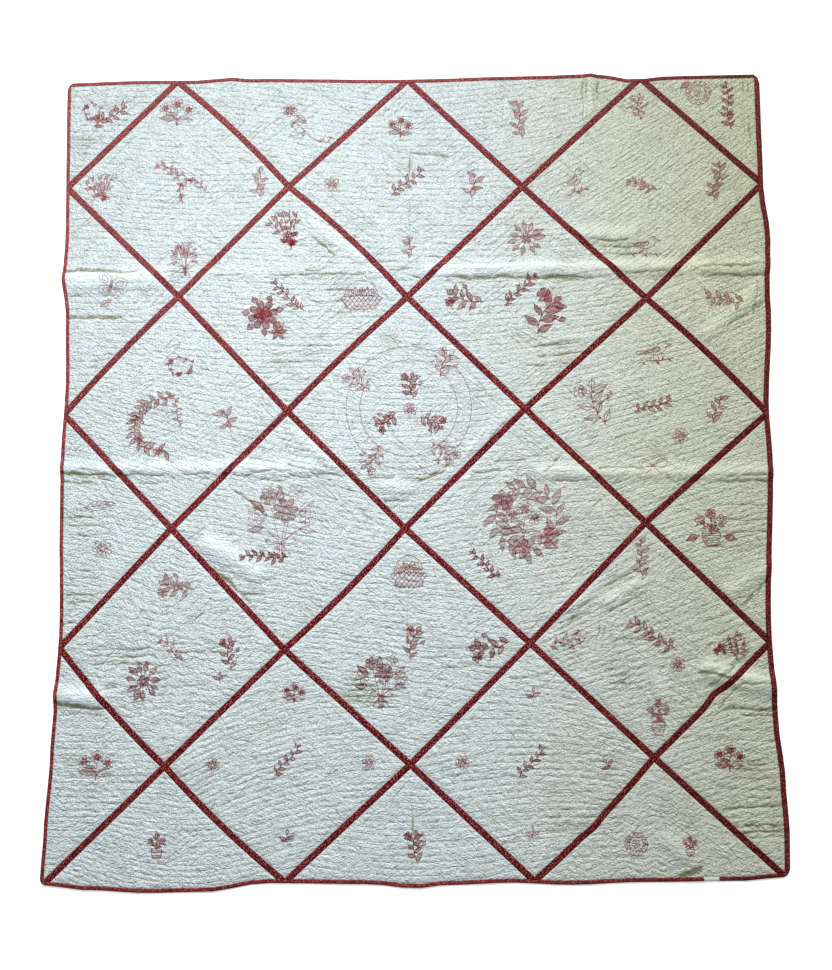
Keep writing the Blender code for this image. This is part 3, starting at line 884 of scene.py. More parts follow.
@dataclass(frozen=True)
class Finish:
    """What every finish shares: a named material with a Principled shader."""

    name: str
    roughness: float = 0.9
    sheen: float = 0.0
    shine: float = 0.25

    def material(self) -> bpy.types.Material:
        """Makes the material.

        Returns:
            The material, with its nodes.
        """
        made = bpy.data.materials.new(self.name)
        made.use_nodes = True
        graph = Graph(made.node_tree)
        shader = made.node_tree.nodes["Principled BSDF"]
        shader.inputs["Roughness"].default_value = self.roughness
        shader.inputs["Sheen Weight"].default_value = self.sheen
        shader.inputs["Specular IOR Level"].default_value = self.shine
        colour, height, depth = self.dress(graph)
        made.node_tree.links.new(colour.socket, shader.inputs["Base Color"])
        if height is not None:
            relief = {"Strength": 1.0, "Distance": depth, "Height": height}
            bump = graph.node("ShaderNodeBump", sockets=relief)
            made.node_tree.links.new(bump.socket, shader.inputs["Normal"])
        return made

    def dress(self, graph: Graph) -> tuple[Wire, Wire | None, float]:
        """The finish's colour, its relief from 0 to 1, and how deep that relief is in metres."""
        raise NotImplementedError


@dataclass(frozen=True)
class WhiteCotton(Finish):
    """Plain woven cotton, washed soft, with running stitches along its quilting rows."""

    name: str = "white_cotton"
    roughness: float = 0.92
    sheen: float = 0.08
    clean: Colour = dyed(228, 241, 247)
    # the two warm colours are darker than the clean one: yellowing, with painted fall-off of the light
    warm_top: Colour = dyed(220, 224, 195)
    warm_foot: Colour = dyed(213, 219, 206)
    aged: Colour = dyed(196, 198, 176)
    shade: Colour = dyed(134, 136, 106)  # soil and painted shade down in the puckers and creases
    cloud_scale: float = 3.1  # this and the scales below are in swells a metre
    stain_scale: float = 9.0
    slub_scale: float = 900.0
    pucker_scale: float = 92.0
    crepe_scale: float = 205.0
    grain_scale: float = 310.0
    speck_scale: float = 340.0
    break_scale: float = 30.0
    relief: float = 0.001
    pucker_depth: float = 1.2  # this and the depths below are in mm
    crepe_depth: float = 5.8
    grain_depth: float = 4.8
    row_depth: float = 1.4
    slant_depth: float = 2.0
    stitch_length: float = 0.0052
    stitch_share: float = 0.55
    stitch_lag: float = 0.37  # how far each row's stitches start behind the last one's
    row_pitch: float = 0.016
    row_width: tuple[float, float] = (0.0002, 0.0024)
    drawn_up: tuple[float, float] = (0.72, 1.15)  # how the puckers are drawn out along and across a row
    hollow_tone: float = 0.85  # this and the next four are shares of the shade's colour; the first four are painted shade, with some soil, in the creases, the crepe's hollows, the stitched rows and the pressed lines
    crepe_tone: float = 0.18
    stitch_tone: float = 0.24
    slant_tone: float = 0.14
    speckle: float = 1.3
    stain_tone: float = 0.25  # this and the next are shares of the aged colour
    slub_tone: float = 0.25
    yellowed: float = 0.9  # from the quilt's middle to where it is warm and dim all over: yellowed cloth, and a painted fall-off of the light towards the right
    usual_relief: float = 1.15
    topmost_relief: float = 0.4  # how much more relief there is with every metre towards the top
    slant: float = 0.75  # how steep the slanting lines are
    slant_scale: float = 34.0
    slant_stretch: float = 0.12
    slant_width: float = 0.030
    slant_patches: float = 7.0
    calmed: float = 0.4  # how much less of all this there is where the cloth is drawn tight

    def _slanting(self, graph: Graph, place: Wire) -> Wire:
        """Fine straight lines that are pressed in aslant, rising to the right or to the left by turns."""
        x, y, _ = graph.parts(place)
        where = graph.noise(place, self.slant_patches, 1.0)
        sides = ((self.slant, where.step(0.50, 0.58)), (-self.slant, 1.0 - where.step(0.42, 0.50)))
        lines = []
        for rise, share in sides:
            drawn = graph.joined((x + y * rise) * self.slant_stretch, y - x * rise, 0.0)
            off = (graph.noise(drawn, self.slant_scale, 0.0, flat=True) - 0.5).size()
            lines.append((1.0 - off.step(0.0, self.slant_width)) * share)
        return lines[0] + lines[1]

    def _stitched(self, graph: Graph, along: Wire, row: Wire, cloth: Wire) -> Wire:
        """Where a running stitch holds the cloth down."""
        off_row = ((row + 0.5).fraction() - 0.5).size() * self.row_pitch
        held = 1.0 - off_row.step(*self.row_width)
        passed = along / self.stitch_length + (row + 0.5).whole() * self.stitch_lag
        dash = passed.fraction() < self.stitch_share
        broken = graph.noise(cloth, self.break_scale, 1.0, flat=True).step(0.28, 0.55)
        return held * (0.45 + 0.55 * (1.0 - dash)) * broken

    def _tone(self, graph: Graph, place: Wire) -> Wire:
        """The cloth's colour: cleanest and brightest on the left, warmer and darker to the right, partly
        yellowing and partly painted fall-off of the light, with faint stains and slubs.
        """
        x, y, _ = graph.parts(place)
        # warmer and darker towards the right: yellowing and painted fall-off of the light
        side = (x + (graph.noise(place, self.cloud_scale, 3.0) - 0.5) * 0.4).step(0.0, self.yellowed)
        warm = graph.mix(y.step(-self.yellowed, self.yellowed), self.warm_foot, self.warm_top)
        stains = graph.noise(place, self.stain_scale, 4.0, 0.6).step(0.56, 0.74)
        colour = graph.mix(stains * self.stain_tone, graph.mix(side, self.clean, warm), self.aged)
        slub = graph.noise(graph.stretched(place, (1.0, 0.25, 1.0)), self.slub_scale, 2.0)
        return graph.mix((slub - 0.5) * self.slub_tone + 0.03, colour, self.aged)

    def dress(self, graph: Graph) -> tuple[Wire, Wire | None, float]:
        """See Finish."""
        place = graph.place()
        _, y, _ = graph.parts(place)
        along, row, _ = graph.parts(graph.node("ShaderNodeUVMap", {"uv_map": "Rows"}))
        cloth = graph.joined(along * self.drawn_up[0], row * self.row_pitch * self.drawn_up[1], 0.0)
        pucker = ((graph.noise(cloth, self.pucker_scale, 2.0, 0.55, flat=True) - 0.5) * 2.6).size()
        crepe = graph.noise(place, self.crepe_scale, 2.0, 0.6)
        grain = graph.noise(place, self.grain_scale, 1.0)
        specks = (graph.noise(place, self.speck_scale, 1.0) - 0.40) * self.speckle
        stitched = self._stitched(graph, along, row, cloth)
        slanting = self._slanting(graph, place)
        loose = 1.0 - self.calmed * graph.attribute("tight")
        height = pucker * self.pucker_depth + crepe * self.crepe_depth + grain * self.grain_depth
        height = height - slanting * self.slant_depth - stitched * self.row_depth
        # painted shade, with some soil, in the crepe's hollows, along the stitched rows and in the pressed
        # lines, and random specks
        soil_and_painted_shade = (1.0 - crepe.step(0.30, 0.50)) * self.crepe_tone + stitched * self.stitch_tone
        soil_and_painted_shade = (soil_and_painted_shade + slanting * self.slant_tone + specks) * loose
        # painted shade down in the creases and between the rows' swells, by the mesh's hollow share
        soil_and_painted_shade = soil_and_painted_shade + graph.attribute("hollow") * self.hollow_tone
        colour = graph.mix(soil_and_painted_shade, self._tone(graph, place), self.shade)
        return colour, height * (self.usual_relief + self.topmost_relief * y) * loose, self.relief


@dataclass(frozen=True)
class RedCalico(Finish):
    """Turkey-red calico with a fine pale print, rubbed paler in patches."""

    name: str = "sash_calico"
    shine: float = 0.06
    deep: Colour = dyed(72, 6, 13)
    bright: Colour = dyed(92, 13, 21)
    # the dim brown of the painted fall-off of the light at the right
    brown: Colour = dyed(62, 8, 7)
    fleck: Colour = dyed(200, 118, 114)
    pale: Colour = dyed(206, 150, 152)
    patch_scale: float = 26.0  # this and the scales below are in swells a metre
    shown_scale: float = 300.0
    rub_scale: float = 340.0
    fine_scale: float = 260.0
    ragged_scale: float = 120.0
    fleck_pitch: float = 0.0052
    thread_pitch: float = 0.00045
    relief: float = 0.0006
    worn: float = 0.08  # how much paler it is where it is rubbed
    browned: float = 0.75  # how much browner and darker it is at the right: painted fall-off of the light
    faded: float = 0.10  # how much paler it is towards the top and the left: painted light
    gap: Colour = dyed(205, 208, 196)  # wadding that shows where the binding has worn away
    gap_place: tuple[float, float, float] = (0.704, 0.741, -0.930)  # left, right and top
    gap_ragged: float = 0.012

    def _gap(self, graph: Graph, place: Wire) -> Wire:
        """Where the binding has worn away."""
        x, y, _ = graph.parts(place)
        left, right, top = self.gap_place
        ragged = x + (graph.noise(place, self.ragged_scale, 2.0) - 0.5) * self.gap_ragged
        bare = ragged.step(left - 0.001, left + 0.001) * (1.0 - ragged.step(right - 0.001, right + 0.001))
        return bare * (1.0 - y.step(top - 0.002, top))

    def dress(self, graph: Graph) -> tuple[Wire, Wire | None, float]:
        """See Finish."""
        place = graph.place()
        x, y, _ = graph.parts(place)
        # darker and browner towards the right, with fewer flecks showing there: painted fall-off of the
        # light
        dark = x.step(0.1, 0.95)
        patches = graph.noise(place, self.patch_scale, 3.0, 0.6).step(0.35, 0.68)
        colour = graph.mix(dark * self.browned, graph.mix(patches, self.deep, self.bright), self.brown)
        strip = graph.node("ShaderNodeUVMap", {"uv_map": "Rows"})
        sockets = {"Vector": strip, "Scale": 1 / self.fleck_pitch, "Randomness": 0.9}
        near = graph.node("ShaderNodeTexVoronoi", {"voronoi_dimensions": "2D"}, sockets, out="Distance")
        shown = graph.noise(place, self.shown_scale, 1.0).step(0.45, 0.53) * (0.88 - 0.45 * dark)
        colour = graph.mix((1.0 - near.step(0.18, 0.36)) * shown, colour, self.fleck)
        rubbed = graph.noise(place, self.rub_scale, 2.0, 0.65).step(0.45, 0.75)
        colour = graph.mix(rubbed * self.worn, colour, self.fleck)
        # paler towards the top left: painted light
        colour = graph.mix((y - x * 0.6).step(-0.1, 1.5) * self.faded, colour, self.pale)
        colour = graph.mix(self._gap(graph, place), colour, self.gap)
        turn = 2 * math.pi / self.thread_pitch
        weave = (x * turn).sine() * (y * turn).sine()
        fine = graph.noise(place, self.fine_scale, 3.0, 0.6)
        return colour, fine * 0.6 + weave * 0.05 + 0.2, self.relief


@dataclass(frozen=True)
class RedThread(Finish):
    """Stranded cotton thread, washed paler in places."""

    name: str = "red_thread"
    roughness: float = 0.8
    shine: float = 0.1
    strong: Colour = dyed(122, 24, 36)
    washed: Colour = dyed(172, 84, 92)
    wash_scale: float = 16.0  # this and the next are in swells a metre
    strand_scale: float = 1400.0
    relief: float = 0.0004

    def dress(self, graph: Graph) -> tuple[Wire, Wire | None, float]:
        """See Finish."""
        place = graph.place()
        thin = 1.0 - graph.attribute("bold").step(0.7, 1.3)
        paler = graph.noise(place, self.wash_scale, 3.0, 0.6).step(0.38, 0.66) * 0.5 + thin * 0.4
        colour = graph.mix(paler, self.strong, self.washed)
        return colour, graph.noise(place, self.strand_scale, 2.0), self.relief


def smooth_line(points: np.ndarray, closed: bool = False) -> np.ndarray:
    """A smooth line through some points, back to the first one if it is closed."""
    if closed:
        around = np.vstack((points[-1:], points, points[:2]))
    else:
        around = np.vstack((2 * points[0] - points[1], points, 2 * points[-1] - points[-2]))
    t = np.linspace(0, 1, 7, endpoint=False)[:, None]
    parts = []
    for a, b, c, d in zip(around, around[1:], around[2:], around[3:]):
        bent = (2 * a - 5 * b + 4 * c - d) * t**2 + (3 * b - a - 3 * c + d) * t**3
        parts.append((2 * b + (c - a) * t + bent) / 2)
    return np.vstack((*parts, points[:1] if closed else points[-1:]))


def evenly(line: np.ndarray, step: float) -> np.ndarray:
    """The same line with its points about a step apart."""
    passed = np.concatenate(([0], np.cumsum(np.hypot(*np.diff(line, axis=0).T))))
    places = np.linspace(0, passed[-1], max(2, round(passed[-1] / step) + 1))
    return np.column_stack([np.interp(places, passed, line[:, i]) for i in (0, 1)])


def turned(places: np.ndarray, angle: float) -> np.ndarray:
    """Places turned anticlockwise about the origin, by an angle in radians."""
    way = np.array((math.cos(angle), math.sin(angle)))
    return places[..., :1] * way + places[..., 1:] * np.array((-way[1], way[0]))


def spoke(reach: float, angle: float) -> np.ndarray:
    """A place by its distance and direction from the origin."""
    return turned(np.array((reach, 0.0)), angle)


def round_places(count: int) -> np.ndarray:
    """Places set evenly round the origin, one metre from it."""
    angles = np.linspace(0, 2 * math.pi, count, endpoint=False)
    return np.column_stack((np.cos(angles), np.sin(angles)))


class Motif(Enum):
    """What the blocks are embroidered with, all of them ordinary needlework patterns."""

    LEAF, DARK_LEAF, SPRIG, SPRAY, DARK_SPRAY, BUD, FLOWER, FULL_FLOWER = range(8)
    POSY, BOUQUET, WREATH, GARLAND, HOOP, RING, STAR, CURL = range(8, 16)
    BOW, BUTTERFLY, BIRD, BASKET, POT, BURST, FAN = range(16, 23)


Place = np.ndarray | tuple[float, float]
KNOT = 0.0035  # the radius of a knot of thread


@dataclass
class Drawing:
    """The thread lines of one motif, about its own middle.

    A place is either in metres, as an array, or a pair of shares of the width and the height.
    """

    width: float
    height: float
    chance: np.random.Generator
    hatch_gap: float = 0.0026
    lines: list[np.ndarray] = field(default_factory=list)

    def __post_init__(self) -> None:
        """Takes the shorter side as the measure of round parts."""
        self.unit = min(self.width, self.height)

    def at(self, place: Place) -> np.ndarray:
        """A place in metres."""
        return place if isinstance(place, np.ndarray) else np.array(place) * (self.width, self.height)

    def curve(self, *places: Place, closed: bool = False) -> np.ndarray:
        """Adds a smooth line through some places, and returns it."""
        line = smooth_line(np.array([self.at(place) for place in places]), closed)
        self.lines.append(line)
        return line

    def mirrored(self, *shares: tuple[float, float], closed: bool = False) -> None:
        """Adds a smooth line and its mirror image."""
        self.curve(*shares, closed=closed)
        self.curve(*((-x, y) for x, y in shares), closed=closed)

    def circle(self, middle: Place, radius: float, count: int = 10) -> None:
        """Adds a circle."""
        self.lines.append(smooth_line(self.at(middle) + radius * round_places(count), True))

    def hatch(self, rim: np.ndarray, angle: float, gap: float | None = None) -> None:
        """Fills a closed line with parallel ones at an angle."""
        level = turned(rim, -angle)
        after = np.roll(level, -1, axis=0)
        gap = gap or self.hatch_gap
        for cut in np.arange(level[:, 1].min() + gap / 2, level[:, 1].max(), gap):
            crossed = (level[:, 1] > cut) != (after[:, 1] > cut)
            start, end = level[crossed], after[crossed]
            share = (cut - start[:, 1]) / (end[:, 1] - start[:, 1])
            places = np.sort(start[:, 0] + share * (end[:, 0] - start[:, 0]))
            for left, right in zip(places[::2], places[1::2]):
                self.lines.append(turned(np.array(((left, cut), (right, cut))), angle))

    def leaf(self, base: Place, tip: Place, dark: bool = False, plump: float = 0.40) -> None:
        """Adds a leaf between two places, veined or filled."""
        base, tip = self.at(base), self.at(tip)
        run = tip - base
        aside = np.array((-run[1], run[0])) * plump / 2
        sides = [smooth_line(np.array((base, base + 0.45 * run + way * aside, tip))) for way in (-1, 1)]
        self.lines.extend(sides)
        if dark:
            self.hatch(np.vstack((sides[0], sides[1][::-1])), math.atan2(run[1], run[0]) + 0.9)
        else:
            self.lines.append(np.array((base, base + 0.8 * run)))

    def flower(self, middle: Place, share: float, petals: int = 6, dark: bool = False) -> None:
        """Adds a flower with a ring of petals, open or filled, its radius a share of the shorter side."""
        middle, radius = self.at(middle), share * self.unit
        spread = 2 * math.pi / petals
        start = self.chance.uniform(0, spread)
        rim = []
        for i in range(petals):
            for way, reach in ((-0.5, 0.42), (-0.3, 0.88), (0.0, 1.0), (0.3, 0.88)):
                rim.append(spoke(radius * reach, start + (i + way) * spread))
        self.lines.append(smooth_line(middle + np.array(rim), True))
        if dark:
            self.hatch(self.lines[-1], start)
        self.circle(middle, radius * 0.28)

    def flowers(self, heads: tuple[tuple[float, float], ...], share: float) -> None:
        """Adds filled flowers of one size."""
        for head in heads:
            self.flower(head, share, 5, True)

    def branch(
        self, count: int, reach: float, *places: Place, dark: bool = True, closed: bool = False
    ) -> np.ndarray:
        """Adds a stem with leaves to its left and its right in turn.

        Args:
            count: How many leaves it has.
            reach: How long they are, about.
            places: Where the stem runs.
            dark: Whether they are filled.
            closed: Whether it is a ring.

        Returns:
            The stem.
        """
        stem = self.curve(*places, closed=closed)
        for i in range(count):
            nth = int((i + 0.7) / count * (len(stem) - 2))
            run = stem[nth + 1] - stem[nth]
            angle = (1 if i % 2 else -1) * self.chance.uniform(0.7, 1.1)
            way = turned(run / np.hypot(*run), angle)
            self.leaf(stem[nth], stem[nth] + way * reach * self.chance.uniform(0.75, 1.1), dark)
        return stem

    def draw(self, motif: Motif) -> None:
        """Adds every line of a motif."""
        getattr(self, "_" + motif.name.lower())()

    def _leaf(self) -> None:
        """One open leaf with veins."""
        self.leaf((-0.5, 0), (0.5, 0), plump=0.9 * self.height / self.width)
        for x in (-0.25, -0.05, 0.15):
            self.curve((x, 0.0), (x + 0.1, 0.16), (x + 0.2, 0.24))
            self.curve((x, 0.0), (x + 0.1, -0.16), (x + 0.2, -0.24))

    def _dark_leaf(self) -> None:
        """One leaf filled with thread, on a short stalk."""
        self.leaf((-0.4, 0), (0.5, 0.05), True, 0.9 * self.height / self.width)
        self.curve((-0.5, -0.12), (-0.45, -0.05), (-0.4, 0.0))

    def _sprig(self) -> None:
        """A thin stem with small leaves."""
        count, reach = max(5, round(self.height / 0.010)), min(0.62 * self.width, 0.026)
        self.branch(count, reach, (0.08, -0.5), (-0.08, -0.2), (0.1, 0.15), (-0.02, 0.5))
        self.circle((-0.02, 0.5), KNOT)

    def _spray(self, dark: bool = False) -> None:
        """A few large leaves on a branching stem."""
        places = ((0.15, -0.5), (0.02, -0.22), (-0.02, 0.05), (0.05, 0.3))
        stem = self.branch(7, 0.42 * self.unit, *places, dark=dark)
        self.leaf(stem[-1], (0.12, 0.5), dark, 0.7)
        side = self.curve((0.02, -0.22), (0.2, -0.02), (0.38, 0.02))
        self.leaf(side[-1], (0.5, 0.15), dark, 0.6)
        self.flower((-0.25, 0.32), 0.16, 5, dark)

    def _dark_spray(self) -> None:
        """The same with every leaf filled."""
        self._spray(dark=True)

    def _burst(self) -> None:
        """Filled leaves and buds that spread from the middle to all sides."""
        for i in range(11):
            angle = 2 * math.pi * (i + self.chance.uniform(-0.2, 0.2)) / 11
            start, end = self.chance.uniform(0.16, 0.26), self.chance.uniform(0.42, 0.52)
            way = spoke(self.unit, angle)
            self.lines.append(np.array((0.05 * way, start * way)))
            self.leaf(start * way, end * way, True, 0.5)
        self.flower((0, 0), 0.15, 5, True)

    def _fan(self) -> None:
        """Many small filled leaves on stems that spread from the foot."""
        count = max(5, round(self.height / 0.016))
        for x in (-0.46, -0.24, 0.0, 0.22, 0.44):
            tip = (x, 0.5 - 0.5 * abs(x) ** 1.5)
            self.branch(count, 0.22 * self.unit, (0.0, -0.5), (0.45 * x, -0.1), tip)

    def _bud(self) -> None:
        """A bud between two leaves."""
        stem = self.curve((0.05, -0.5), (-0.03, -0.1), (0.0, 0.18))
        self.leaf(stem[-1], (0.03, 0.5), True, 0.5)
        self.leaf(stem[7], (0.46, 0.12), True)
        self.leaf(stem[5], (-0.48, 0.05), True)

    def _flower(self) -> None:
        """An open flower, its inner petals inside its outer ones."""
        self.flower((0, 0), 0.5, 7)
        self.flower((0, 0), 0.3, 7)

    def _full_flower(self) -> None:
        """A flower worked solid, with pointed leaves about it."""
        self.flower((0, 0), 0.36, 8, True)
        self.flower((0, 0), 0.22, 6, True)
        for i in range(7):
            way = spoke(1.0, i * 2 * math.pi / 7 + 0.3)
            self.leaf(0.34 * self.unit * way, 0.52 * self.unit * way, True, 0.8)

    def _posy(self) -> None:
        """Three flowers on bent stems."""
        for x, y, radius in ((-0.3, 0.14, 0.21), (0.03, 0.29, 0.23), (0.32, 0.07, 0.2)):
            self.curve((0.0, -0.5), (x * 0.25, -0.2), (x * 0.9, y - radius))
            self.flower((x, y), radius)
            self.flower((x, y), 0.55 * radius, 5, True)
        self.leaf((0.01, -0.25), (-0.44, -0.22), True)
        self.leaf((0.01, -0.3), (0.42, -0.3))
        self.leaf((0.0, -0.12), (-0.2, -0.02), True)

    def _bouquet(self) -> None:
        """Five flowers among leaves, tied with a ribbon."""
        left = ((-0.33, 0.08, 0.13), (-0.17, 0.33, 0.12))
        right = ((0.06, 0.14, 0.17), (0.2, 0.38, 0.11), (0.36, 0.05, 0.12))
        for i, (x, y, radius) in enumerate(left + right):
            self.curve((0.02 * (i - 2), -0.5), (x * 0.2, -0.25), (x * 0.85, y - radius))
            self.flower((x, y), radius, 5 + i % 3, i in (1, 2))
        for x, y in ((-0.45, -0.12), (0.45, -0.14), (-0.02, 0.46), (-0.42, 0.28), (0.44, 0.26)):
            self.leaf((x * 0.55, y * 0.55 - 0.03), (x, y), x < 0)
        self.mirrored((0.0, -0.28), (0.14, -0.2), (0.2, -0.3), (0.0, -0.3))
        self.mirrored((0.0, -0.3), (0.08, -0.38), (0.14, -0.48))

    def _wreath(self) -> None:
        """A ring of leaves with flowers in it."""
        upper = ((0.38, 0), (0.27, 0.27), (0, 0.38), (-0.27, 0.27))
        lower = ((-0.38, 0), (-0.27, -0.27), (0, -0.38), (0.27, -0.27))
        self.branch(max(10, round(self.unit / 0.006)), 0.2 * self.unit, *upper, *lower, closed=True)
        self.flowers(((0.3, -0.24), (-0.3, 0.22), (-0.06, -0.38)), 0.12)

    def _garland(self) -> None:
        """A bent branch that is open on one side."""
        places = ((0.32, 0.5), (-0.22, 0.36), (-0.42, 0.0), (-0.28, -0.34), (0.42, -0.45))
        self.branch(max(10, round(self.height / 0.0055)), 0.2 * self.unit, *places)
        self.flowers(((-0.42, 0.12), (-0.34, -0.24), (0.1, -0.42)), 0.08)

    def _hoop(self) -> None:
        """One thin ring."""
        self.circle((0, 0), self.unit / 2, 48)

    def _ring(self) -> None:
        """Two rings with a zigzag between them."""
        self.circle((0, 0), 0.5 * self.unit)
        self.circle((0, 0), 0.3 * self.unit)
        angles = np.arange(29) * math.pi / 14
        reach = np.where(np.arange(29) % 2 == 0, 0.48, 0.32) * self.unit
        self.lines.append(reach[:, None] * np.column_stack((np.cos(angles), np.sin(angles))))
        self.flower((0, 0), 0.18, 5)

    def _star(self) -> None:
        """Six filled leaves about a knot."""
        for i in range(6):
            way = spoke(1.0, i * math.pi / 3 + self.chance.uniform(-0.15, 0.15))
            self.leaf(tuple(0.06 * way), tuple(0.5 * way), True, 0.42)
        self.circle((0, 0), KNOT)

    def _curl(self) -> None:
        """A long tendril that is rolled up at both ends."""
        left = ((-0.38, 0.1), (-0.46, 0.2), (-0.5, 0.42), (-0.34, 0.46), (-0.18, 0.1), (0.05, -0.25))
        right = ((0.3, -0.3), (0.46, -0.1), (0.4, 0.12), (0.3, 0.0))
        reach = min(0.5 * self.unit, 0.016)
        self.branch(max(4, round(self.width / 0.02)), reach, *left, *right, dark=False)

    def _bow(self) -> None:
        """A tied ribbon."""
        self.mirrored((0.03, 0.05), (0.25, 0.42), (0.5, 0.3), (0.42, -0.05), (0.15, -0.05), closed=True)
        self.mirrored((0.1, 0.08), (0.3, 0.25), (0.4, 0.12))
        self.mirrored((0.02, 0.0), (0.12, -0.25), (0.3, -0.5))
        self.circle((0, 0.03), 0.08 * self.unit)

    def _butterfly(self) -> None:
        """Four wings, a body and two feelers."""
        self.mirrored((0.02, 0.05), (0.2, 0.42), (0.5, 0.42), (0.44, 0.08), (0.1, -0.04), closed=True)
        self.mirrored((0.14, 0.1), (0.26, 0.3), (0.4, 0.3), (0.34, 0.12), closed=True)
        self.mirrored((0.02, -0.05), (0.2, -0.08), (0.4, -0.2), (0.3, -0.45), (0.1, -0.32), closed=True)
        self.mirrored((0.1, -0.14), (0.24, -0.2), (0.22, -0.34))
        self.mirrored((0.01, 0.16), (0.06, 0.34), (0.12, 0.46))
        self.leaf((0, 0.18), (0, -0.36), True, 0.2)

    def _bird(self) -> None:
        """A small bird on a twig."""
        back = ((0.46, 0.3), (0.36, 0.34), (0.28, 0.44), (0.14, 0.36), (0.02, 0.18), (-0.22, 0.06))
        breast = ((-0.5, 0.0), (-0.46, -0.1), (-0.2, -0.1), (0.08, -0.12), (0.28, 0.04), (0.34, 0.24))
        self.curve(*back, *breast, closed=True)
        wing = ((0.12, 0.16), (-0.1, 0.08), (-0.32, -0.04), (-0.1, -0.04), (0.08, 0.02))
        self.hatch(self.curve(*wing, closed=True), 2.8, 2 * self.hatch_gap)
        self.curve((-0.03, -0.12), (-0.04, -0.24), (-0.02, -0.36))
        self.curve((0.08, -0.12), (0.1, -0.24), (0.08, -0.36))
        twig = ((-0.45, -0.46), (-0.1, -0.36), (0.2, -0.36), (0.5, -0.26))
        self.branch(5, 0.17 * self.unit, *twig, dark=False)
        self.circle((0.28, 0.34), 0.0018)

    def _basket(self) -> None:
        """A plaited basket of flowers with a high handle."""
        sides = ((-0.42, -0.06), (-0.38, -0.3), (-0.28, -0.48), (0.28, -0.48), (0.38, -0.3), (0.42, -0.06))
        rim = self.curve(*sides, closed=True)
        self.hatch(rim, 0.9, 0.009)
        self.hatch(rim, -0.9, 0.009)
        self.curve((-0.4, -0.05), (-0.3, 0.3), (0.0, 0.5), (0.3, 0.3), (0.4, -0.05))
        for x, y in ((-0.24, 0.06), (0.0, 0.12), (0.25, 0.06)):
            self.flower((x, y), 0.13, 5, x == 0)
        self.leaf((-0.12, -0.02), (-0.14, 0.28))
        self.leaf((0.12, -0.02), (0.15, 0.27))

    def _pot(self) -> None:
        """A plant in a pot."""
        pot = ((-0.24, -0.14), (-0.16, -0.46), (0.0, -0.5), (0.16, -0.46), (0.24, -0.14))
        self.hatch(self.curve(*pot, closed=True), 0.0, 2.2 * self.hatch_gap)
        for x, y in ((-0.3, 0.2), (0.0, 0.38), (0.3, 0.22)):
            self.branch(3, 0.18 * self.unit, (0.0, -0.14), (x * 0.4, 0.02), (x * 0.9, y - 0.1))
            self.flower((x, y), 0.14, 5, x == 0)


